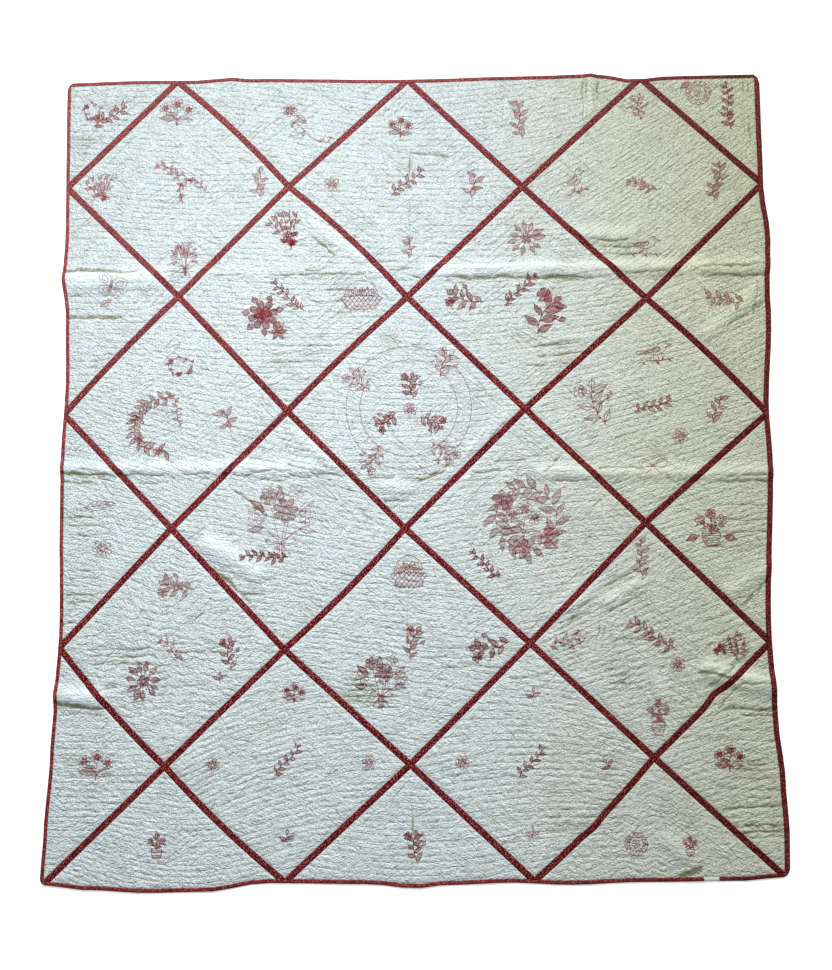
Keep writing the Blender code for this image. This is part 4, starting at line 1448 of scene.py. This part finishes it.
# Where the motifs are. Columns: the block's row and column, the motif, its middle across and along,
# its width and height in mm, how far it is turned, and how strong its thread is.
NEEDLEWORK = (
    (0, 0, "WREATH", -820, 940, 55, 55, 0, 0.9), (0, 0, "SPRIG", -775, 925, 38, 96, -60, 1.2),
    (0, 2, "FLOWER", -305, 935, 35, 35, 0, 1.1), (0, 2, "LEAF", -275, 910, 34, 18, -40, 1.0),
    (0, 2, "CURL", -245, 868, 125, 40, -14, 0.9), (0, 4, "SPRIG", 285, 900, 50, 100, 6, 0.9),
    (0, 6, "RING", 745, 965, 62, 62, 0, 0.8), (0, 6, "DARK_LEAF", 712, 985, 30, 18, 30, 1.2),
    (0, 6, "SPRIG", 820, 930, 34, 120, 3, 1.2), (1, 1, "POSY", -600, 935, 98, 72, 0, 0.9),
    (1, 1, "FAN", -795, 735, 84, 74, 12, 0.9), (1, 1, "SPRIG", -612, 778, 30, 80, 64, 0.9),
    (1, 1, "GARLAND", -560, 725, 62, 70, -70, 0.9), (1, 1, "SPRIG", -385, 740, 60, 72, 0, 0.8),
    (1, 1, "BOUQUET", -575, 545, 74, 88, 5, 0.9), (1, 3, "POSY", -20, 885, 66, 56, 0, 1.0),
    (1, 3, "FLOWER", -195, 735, 40, 40, 0, 0.9), (1, 3, "SPRIG", 165, 725, 45, 62, -10, 0.9),
    (1, 3, "SPRIG", -4, 738, 36, 104, -52, 1.1), (1, 3, "SPRIG", 0, 565, 30, 50, 0, 0.9),
    (1, 5, "SPRAY", 590, 930, 50, 70, 0, 0.9), (1, 5, "BIRD", 425, 735, 62, 76, 10, 0.9),
    (1, 5, "SPRIG", 785, 730, 58, 100, -12, 0.9), (1, 5, "SPRIG", 597, 722, 30, 76, 70, 0.9),
    (1, 5, "BIRD", 600, 565, 82, 60, -8, 1.0), (2, 0, "BUTTERFLY", -760, 475, 72, 58, -20, 0.8),
    (2, 0, "LEAF", -775, 430, 32, 18, 30, 0.8), (2, 2, "FAN", -312, 620, 84, 104, 14, 1.2),
    (2, 2, "FULL_FLOWER", -370, 395, 104, 108, 0, 1.4), (2, 2, "STAR", -332, 352, 46, 46, 0, 1.4),
    (2, 2, "SPRIG", -308, 442, 30, 108, 46, 1.3), (2, 2, "BASKET", -120, 445, 110, 76, 0, 1.0),
    (2, 4, "BURST", 300, 588, 96, 96, 0, 0.9), (2, 4, "SPRIG", 282, 452, 32, 112, -46, 1.4),
    (2, 4, "DARK_SPRAY", 140, 430, 74, 96, 70, 1.2), (2, 4, "DARK_SPRAY", 345, 395, 108, 112, -35, 1.3),
    (2, 6, "SPRIG", 800, 420, 40, 90, 80, 0.9), (3, 1, "WREATH", -580, 265, 82, 56, 0, 1.0),
    (3, 1, "GARLAND", -642, 112, 125, 150, 0, 1.0), (3, 1, "SPRIG", -588, 150, 26, 80, 12, 0.8),
    (3, 1, "SPRIG", -460, 125, 50, 55, 20, 0.9), (3, 3, "HOOP", 0, 152, 316, 316, 0, 0.8),
    (3, 3, "HOOP", 0, 152, 246, 246, 0, 0.8), (3, 3, "SPRAY", -130, 222, 66, 76, 40, 0.9),
    (3, 3, "SPRAY", 90, 268, 66, 76, -30, 0.9), (3, 3, "SPRAY", -90, 22, 66, 76, 140, 0.9),
    (3, 3, "SPRAY", 92, 40, 66, 76, -140, 0.9), (3, 3, "DARK_SPRAY", 4, 210, 58, 66, 0, 1.2),
    (3, 3, "DARK_SPRAY", -56, 118, 56, 64, 120, 1.2), (3, 3, "DARK_SPRAY", 62, 118, 56, 64, -120, 1.1),
    (3, 3, "FLOWER", 4, 148, 34, 34, 0, 0.9), (3, 5, "SPRAY", 465, 160, 100, 120, 15, 1.1),
    (3, 5, "BIRD", 620, 290, 90, 62, 0, 1.0), (3, 5, "SPRIG", 610, 152, 34, 98, -74, 1.0),
    (3, 5, "SPRIG", 770, 140, 40, 70, -20, 0.9), (3, 5, "FLOWER", 680, 75, 40, 40, 0, 0.9),
    (3, 5, "BOW", 610, 0, 70, 42, 0, 0.9), (4, 0, "LEAF", -780, -90, 80, 26, 8, 0.9),
    (4, 0, "FLOWER", -770, -200, 48, 48, 0, 0.9), (4, 2, "BOUQUET", -320, -132, 185, 190, 0, 0.8),
    (4, 2, "SPRIG", -362, -222, 30, 118, 88, 1.4), (4, 4, "WREATH", 292, -128, 200, 200, 0, 0.8),
    (4, 4, "POSY", 286, -134, 88, 96, 0, 0.8), (4, 4, "SPRIG", 190, -246, 30, 94, 46, 1.4),
    (4, 6, "POT", 750, -155, 90, 92, 0, 1.1), (4, 6, "DARK_LEAF", 705, -180, 36, 20, 200, 1.3),
    (4, 6, "DARK_LEAF", 795, -180, 36, 20, -20, 1.3), (5, 1, "DARK_SPRAY", -585, -300, 72, 88, 75, 0.9),
    (5, 1, "BURST", -660, -530, 100, 100, 10, 1.1), (5, 1, "DARK_SPRAY", -450, -460, 55, 80, 0, 1.2),
    (5, 1, "SPRIG", -592, -452, 26, 78, 44, 0.8), (5, 1, "BUD", -470, -520, 34, 30, 0, 0.9),
    (5, 3, "BASKET", 0, -260, 92, 80, 0, 1.0), (5, 3, "DARK_SPRAY", 8, -434, 56, 84, -20, 1.1),
    (5, 3, "BOUQUET", -70, -530, 138, 130, 0, 1.1), (5, 3, "DARK_SPRAY", 198, -452, 76, 102, 96, 1.2),
    (5, 5, "SPRIG", 575, -230, 36, 90, 0, 1.0), (5, 5, "SPRAY", 390, -432, 50, 92, -78, 1.0),
    (5, 5, "SPRIG", 598, -420, 38, 124, 58, 1.0), (5, 5, "FLOWER", 660, -492, 36, 36, 0, 1.0),
    (5, 5, "FAN", 790, -450, 60, 88, -80, 1.0), (5, 5, "POT", 610, -620, 62, 90, 0, 1.0),
    (6, 0, "POSY", -775, -735, 94, 70, 0, 0.9), (6, 2, "POSY", -285, -560, 60, 50, 0, 1.0),
    (6, 2, "FLOWER", -485, -735, 35, 35, 0, 0.9), (6, 2, "SPRIG", -302, -725, 28, 96, -42, 1.1),
    (6, 2, "FLOWER", -100, -730, 34, 34, 0, 0.9), (6, 2, "BUD", -300, -910, 38, 40, 0, 1.1),
    (6, 4, "BUD", 305, -565, 38, 36, 0, 1.0), (6, 4, "FLOWER", 130, -730, 35, 35, 0, 0.9),
    (6, 4, "SPRIG", 298, -730, 28, 96, -42, 1.1), (6, 4, "BUD", 485, -735, 38, 36, 40, 1.0),
    (6, 4, "BUD", 300, -900, 36, 34, 0, 0.9), (6, 6, "POSY", 780, -720, 80, 62, 0, 1.2),
    (7, 1, "POT", -620, -930, 52, 62, 0, 1.0), (7, 3, "DARK_SPRAY", 10, -930, 58, 76, 0, 1.2),
    (7, 5, "RING", 550, -925, 55, 55, 0, 0.9), (7, 5, "POT", 680, -930, 42, 46, 0, 0.9),
)


@dataclass(frozen=True)
class StemStitch:
    """Short slanted bars of thread, one after another along a line."""

    pitch: float = 0.0035
    length: float = 0.0052
    width: float = 0.0018
    flatness: float = 0.85
    slant: float = 11.0  # degrees
    uneven: float = 0.16
    seed: int = 7

    def group(self) -> bpy.types.NodeTree:
        """Makes the node group that turns lines into stitches.

        Returns:
            The group, with its sizes as named inputs.
        """
        tree = bpy.data.node_groups.new("stem_stitches", "GeometryNodeTree")
        sizes = dict.fromkeys(("Pitch", "Length", "Width", "Flatness", "Slant", "Uneven"), "Float")
        kinds = {"Lines": "Geometry", **sizes, "Seed": "Int", "Thread": "Material"}
        for name, kind in kinds.items():
            tree.interface.new_socket(name, in_out="INPUT", socket_type="NodeSocket" + kind)
        tree.interface.new_socket("Stitches", in_out="OUTPUT", socket_type="NodeSocketGeometry")
        graph = Graph(tree)
        lines = graph.node("NodeGroupInput")
        given = {name: Wire(graph, lines.socket.node.outputs[name]) for name in kinds}
        curves = graph.node("GeometryNodeMeshToCurve", sockets={0: given["Lines"]})
        spacing = {0: curves, "Length": given["Pitch"]}
        spread = graph.node("GeometryNodeCurveToPoints", {"mode": "LENGTH"}, spacing)
        tangent = Wire(graph, spread.socket.node.outputs["Tangent"])
        chances = {"Seed": given["Seed"], 2: -1.0, 3: 1.0}
        chance = graph.node("FunctionNodeRandomValue", {"data_type": "FLOAT"}, chances, out=1)
        angle = given["Slant"] + chance * given["Uneven"]
        turned_way = {0: tangent, "Angle": angle}
        way = graph.node("ShaderNodeVectorRotate", {"rotation_type": "Z_AXIS"}, turned_way)
        turn = graph.node("FunctionNodeAlignRotationToVector", {"axis": "Z"}, {"Vector": way})
        bold = graph.node("GeometryNodeInputNamedAttribute", {"data_type": "FLOAT"}, {"Name": "bold"})
        width = given["Width"] * bold * (1.0 + chance * given["Uneven"])
        size = graph.joined(width / 2.0, width * given["Flatness"] / 2.0, given["Length"] / 2.0)
        bar = graph.node("GeometryNodeMeshUVSphere", sockets={"Segments": 4, "Rings": 2, "Radius": 1.0})
        parts = {0: spread, "Instance": bar, "Rotation": turn, "Scale": size}
        placed = graph.node("GeometryNodeInstanceOnPoints", sockets=parts)
        joined = graph.node("GeometryNodeRealizeInstances", sockets={0: placed})
        smooth = graph.node("GeometryNodeSetShadeSmooth", sockets={0: joined})
        dressed = graph.node("GeometryNodeSetMaterial", sockets={0: smooth, "Material": given["Thread"]})
        graph.node("NodeGroupOutput", sockets={0: dressed})
        return tree

    def sew(
        self, lines: bpy.types.Object, tree: bpy.types.NodeTree, thread: bpy.types.Material
    ) -> bpy.types.Mesh:
        """Turns an object's edges into stitches.

        Args:
            lines: The object whose edges are sewn.
            tree: The group that group() made.
            thread: The thread's material.

        Returns:
            The stitches as a plain mesh.
        """
        modifier = lines.modifiers.new("stitches", "NODES")
        modifier.node_group = tree
        values = {name.capitalize(): value for name, value in vars(self).items()}
        values.update(Slant=math.radians(self.slant), Thread=thread)
        for item in tree.interface.items_tree:
            if item.in_out == "INPUT" and item.name in values:
                modifier[item.identifier] = values[item.name]
        bpy.context.view_layer.update()
        finished = lines.evaluated_get(bpy.context.evaluated_depsgraph_get())
        mesh = bpy.data.meshes.new_from_object(finished)
        lines.modifiers.remove(modifier)
        return mesh


@dataclass
class Needlework:
    """The embroidery on one block."""

    block: QuiltedBlock
    thread: bpy.types.Material
    stitch: StemStitch
    tree: bpy.types.NodeTree
    rise: float = 0.00045
    step: float = 0.0026
    shortest: float = 0.4  # lines under this share of a step are left out
    margin: float = 0.006
    shakes: tuple[Swell, ...] = (Swell(0.0006, 0.014, 0.014, 61), Swell(0.0006, 0.014, 0.014, 62))
    places: list[np.ndarray] = field(default_factory=list)
    strengths: list[float] = field(default_factory=list)

    def add(
        self, motif: Motif, middle: np.ndarray, size: tuple[float, float], turn: float, strength: float
    ) -> None:
        """Draws one motif on the block.

        Args:
            motif: What it shows.
            middle: Where its middle is.
            size: Its width and height.
            turn: How far it is turned, in degrees.
            strength: How strong its thread is, 1 being the usual.
        """
        seed = int(abs(middle[0]) * 7919 + abs(middle[1]) * 104729)
        drawing = Drawing(*size, np.random.default_rng(seed))
        drawing.draw(motif)
        for line in drawing.lines:
            if np.ptp(line, axis=0).max() < self.shortest * self.step:
                continue
            line = evenly(turned(line, math.radians(turn)) + middle, self.step)
            line = line + np.column_stack([shake.at(*line.T) for shake in self.shakes])
            inside = self.block.outline.holds(line)
            inside[inside] = self.block.outline.distance(line[inside]) > self.margin
            for part in np.split(np.arange(len(line)), np.flatnonzero(np.diff(inside)) + 1):
                if inside[part[0]] and len(part) > 1:
                    self.places.append(line[part])
                    self.strengths.append(strength)

    def build(self) -> bpy.types.Object:
        """Returns:
            The finished object.
        """
        flat = np.vstack(self.places)
        points = np.column_stack((flat, self.block.surface(flat) + self.rise))
        counts = [len(line) for line in self.places]
        joined = np.ones(len(flat), bool)
        joined[np.cumsum(counts) - 1] = False
        edges = [(int(i), int(i) + 1) for i in np.flatnonzero(joined)]
        name = self.block.solid.replace("block", "needlework")
        mesh = bpy.data.meshes.new(name + "_lines")
        mesh.from_pydata(points.tolist(), edges, [])
        bold = mesh.attributes.new("bold", "FLOAT", "POINT")
        bold.data.foreach_set("value", np.repeat(self.strengths, counts).astype(np.float32))
        lines = bpy.data.objects.new(name + "_lines", mesh)
        bpy.context.scene.collection.objects.link(lines)
        made = bpy.data.objects.new(name, self.stitch.sew(lines, self.tree, self.thread))
        bpy.data.objects.remove(lines)
        bpy.context.scene.collection.objects.link(made)
        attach(made, BODY)
        log.info("%s: %d faces", name, len(made.data.polygons))
        return made


@dataclass(frozen=True)
class Paper(Finish):
    """The pale floor, which glows a little so that it stays white in every corner."""

    name: str = "pale_floor"
    roughness: float = 1.0
    tone: Colour = dyed(250, 250, 250)
    palest: Colour = dyed(252, 252, 252)
    cloud_scale: float = 0.6
    glow: float = 0.45

    def dress(self, graph: Graph) -> tuple[Wire, Wire | None, float]:
        """See Finish."""
        cloud = graph.noise(graph.place(), self.cloud_scale, 1.0)
        return graph.mix(cloud, self.tone, self.palest), None, 0.0

    def material(self) -> bpy.types.Material:
        """See Finish."""
        made = super().material()
        shader = made.node_tree.nodes["Principled BSDF"]
        shader.inputs["Emission Color"].default_value = (1.0, 1.0, 1.0, 1.0)
        shader.inputs["Emission Strength"].default_value = self.glow
        return made


@dataclass
class Studio:
    """The floor, the lights and the camera."""

    floor_size: float = 40.0
    image_size: tuple[int, int] = (832, 970)
    focal_pixels: float = 1600.0
    tilt: tuple[float, float, float] = (-7.029, -1.963, 0.402)  # degrees about x, y and z
    shift: tuple[float, float, float] = (-0.01798, 0.04298, -4.01739)  # from the tables' own middle
    sensor: float = 24.0  # mm
    sky: Colour = (1.0, 1.0, 0.97, 1.0)
    sky_strength: float = 0.20

    def floor(self) -> None:
        """A wide pale floor under the quilt."""
        mesh = bpy.data.meshes.new("floor")
        half = self.floor_size / 2
        corners = [(-half, -half, 0), (half, -half, 0), (half, half, 0), (-half, half, 0)]
        mesh.from_pydata(corners, [], [(0, 1, 2, 3)])
        made = bpy.data.objects.new("floor", mesh)
        bpy.context.scene.collection.objects.link(made)
        mesh.materials.append(Paper().material())

    def _lamp(self, name: str, kind: str, place: tuple, turn: tuple, **settings: float) -> None:
        """One white lamp that the camera doesn't see."""
        data = bpy.data.lights.new(name, kind)
        for key, value in settings.items():
            setattr(data, key, value)
        made = bpy.data.objects.new(name, data)
        made.location = place
        made.rotation_euler = [math.radians(a) for a in turn]
        made.visible_camera = False
        bpy.context.scene.collection.objects.link(made)

    def lights(self) -> None:
        """Low soft light from beyond the top edge, and a wide lamp over the upper left."""
        self._lamp("window", "SUN", (0, 3, 2), (-58, 0, -8), energy=2.65, angle=math.radians(24))
        self._lamp("overhead", "AREA", (-0.34, 0.80, 1.7), (0, 0, 0), energy=34.0, shape="DISK", size=1.1)
        world = bpy.data.worlds.new("studio")
        world.use_nodes = True
        back = world.node_tree.nodes["Background"]
        back.inputs["Color"].default_value = self.sky
        back.inputs["Strength"].default_value = self.sky_strength
        bpy.context.scene.world = world
        bpy.context.scene.view_settings.view_transform = "Standard"

    def camera(self) -> None:
        """The camera, where the photograph was taken from."""
        around_x, around_y, around_z = (math.radians(a) for a in self.tilt)
        turn = Matrix.Rotation(around_z, 3, "Z") @ Matrix.Rotation(around_y, 3, "Y")
        turn = turn @ Matrix.Rotation(around_x, 3, "X")
        place = -(turn.transposed() @ Vector(self.shift)) - Vector((*MIDDLE, 0))
        data = bpy.data.cameras.new("camera")
        data.sensor_fit = "VERTICAL"
        data.sensor_height = self.sensor
        data.lens = self.focal_pixels * self.sensor / self.image_size[1]
        made = bpy.data.objects.new("camera", data)
        made.matrix_world = Matrix.Translation(place) @ turn.transposed().to_4x4()
        bpy.context.scene.collection.objects.link(made)
        bpy.context.scene.camera = made

    def build(self) -> None:
        """Sets up the floor, the lights and the camera."""
        self.floor()
        self.lights()
        self.camera()


# How the white blocks are quilted. Columns: row and column, how far the quilting rows turn from
# level at the top and at the foot in degrees, how far they bend from left to right in degrees, the
# rows' pitch in mm, and how strongly the cloth swells.
BLOCKS = (
    (0, 0, -1, -1, 0, 15.5, 1.15), (0, 2, -8, -10, -8, 15.0, 1.10), (0, 4, 6, 12, 20, 15.0, 1.00),
    (0, 6, 35, 35, 0, 17.0, 0.85), (1, 1, -3, -3, 18, 15.0, 1.15), (1, 3, -1, -3, 8, 16.0, 1.15),
    (1, 5, 27, 38, 12, 14.5, 0.85), (2, 0, 0, -1, 0, 17.0, 1.05), (2, 2, -4, 0, 8, 14.5, 1.10),
    (2, 4, 0, 10, 12, 16.0, 1.10), (2, 6, 15, 33, 0, 18.0, 1.05), (3, 1, -2, -24, 0, 15.5, 1.05),
    (3, 3, -5, 4, 18, 16.0, 1.00), (3, 5, 12, 20, 0, 16.0, 1.05), (4, 0, -13, -13, 0, 15.0, 0.90),
    (4, 2, -12, -10, 0, 15.5, 1.20), (4, 4, 2, 12, -8, 16.0, 1.00), (4, 6, 20, 12, 0, 16.5, 0.95),
    (5, 1, -12, 2, 0, 18.0, 1.20), (5, 3, -3, -12, 0, 15.5, 1.15), (5, 5, 34, 6, 0, 18.0, 1.25),
    (6, 0, 0, 0, 0, 16.5, 1.10), (6, 2, 14, 14, -34, 16.0, 1.20), (6, 4, -12, 12, -30, 17.0, 1.25),
    (6, 6, 20, 17, 0, 16.5, 1.10), (7, 1, -4, -4, 50, 14.0, 1.20), (7, 3, 0, 0, 30, 16.0, 1.15),
    (7, 5, 2, 2, 26, 15.5, 1.05),
)
CHEVRONS = {(7, 5): 0.014, (5, 1): 0.008}  # how far the rows are drawn into a point at their middle

# The grid of the blocks' middles, in metres.
COLUMN_PITCH = 0.296
ROW_PITCH = 0.290
TOP_ROW = 1.011
MIDDLE_COLUMN = 3

# Which way each strip of the binding faces.
SIDES = {"left": (-1.0, 0.0), "right": (1.0, 0.0), "top": (0.0, 1.0), "bottom": (0.0, -1.0)}


@dataclass
class Quilt:
    """The whole quilt: its blocks, sashes, binding and needlework."""

    lie: Lie = field(default_factory=Lie)

    def blocks(self, cotton: bpy.types.Material) -> list[QuiltedBlock]:
        """The white blocks, from the top row down."""
        made = []
        for row, column, top, foot, bend, pitch, swell in BLOCKS:
            middle = np.array(((column - MIDDLE_COLUMN) * COLUMN_PITCH, TOP_ROW - row * ROW_PITCH))
            block = QuiltedBlock(
                solid=f"block_r{row}_c{column}",
                lie=self.lie,
                material=cotton,
                chevron=CHEVRONS.get((row, column), 0.0),
                turn_top=top,
                turn_foot=foot,
                bend=bend,
                pitch=pitch / 1000,
                swell=swell,
                middle=middle - MIDDLE,
            )
            made.append(block)
        return made

    def sashes(self, calico: bpy.types.Material) -> list[Sash]:
        """The red sashes, the long ones first."""
        names = sorted(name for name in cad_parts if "sash" in name)
        return [Sash(solid=name, lie=self.lie, material=calico) for name in names]

    def bindings(self, calico: bpy.types.Material) -> list[Binding]:
        """The four strips of the binding."""
        given = {"lie": self.lie, "material": calico}
        return [Binding(solid="binding_" + side, outward=way, **given) for side, way in SIDES.items()]

    def needlework(self, blocks: list[QuiltedBlock], thread: bpy.types.Material) -> list[Needlework]:
        """The embroidery, block by block."""
        stitch = StemStitch()
        tree = stitch.group()
        made = {block.solid: Needlework(block, thread, stitch, tree) for block in blocks}
        for row, column, motif, x, y, width, height, turn, strength in NEEDLEWORK:
            middle = np.array((x, y)) / 1000 - MIDDLE
            size = (width / 1000, height / 1000)
            made[f"block_r{row}_c{column}"].add(Motif[motif], middle, size, turn, strength)
        return [work for work in made.values() if work.places]


def main() -> None:
    """Builds the quilt and its studio."""
    logging.basicConfig(level=logging.INFO, format="%(message)s")
    quilt = Quilt()
    blocks = quilt.blocks(WhiteCotton().material())
    sashes = quilt.sashes(RedCalico().material())
    hem = RedCalico(name="binding_calico", deep=dyed(88, 18, 20), bright=dyed(116, 34, 34), worn=0.2)
    bindings = quilt.bindings(hem.material())
    needlework = quilt.needlework(blocks, RedThread().material())
    for piece in [*blocks, *sashes, *bindings, *needlework]:
        piece.build()
    Studio().build()


if __name__ == "__main__":
    main()
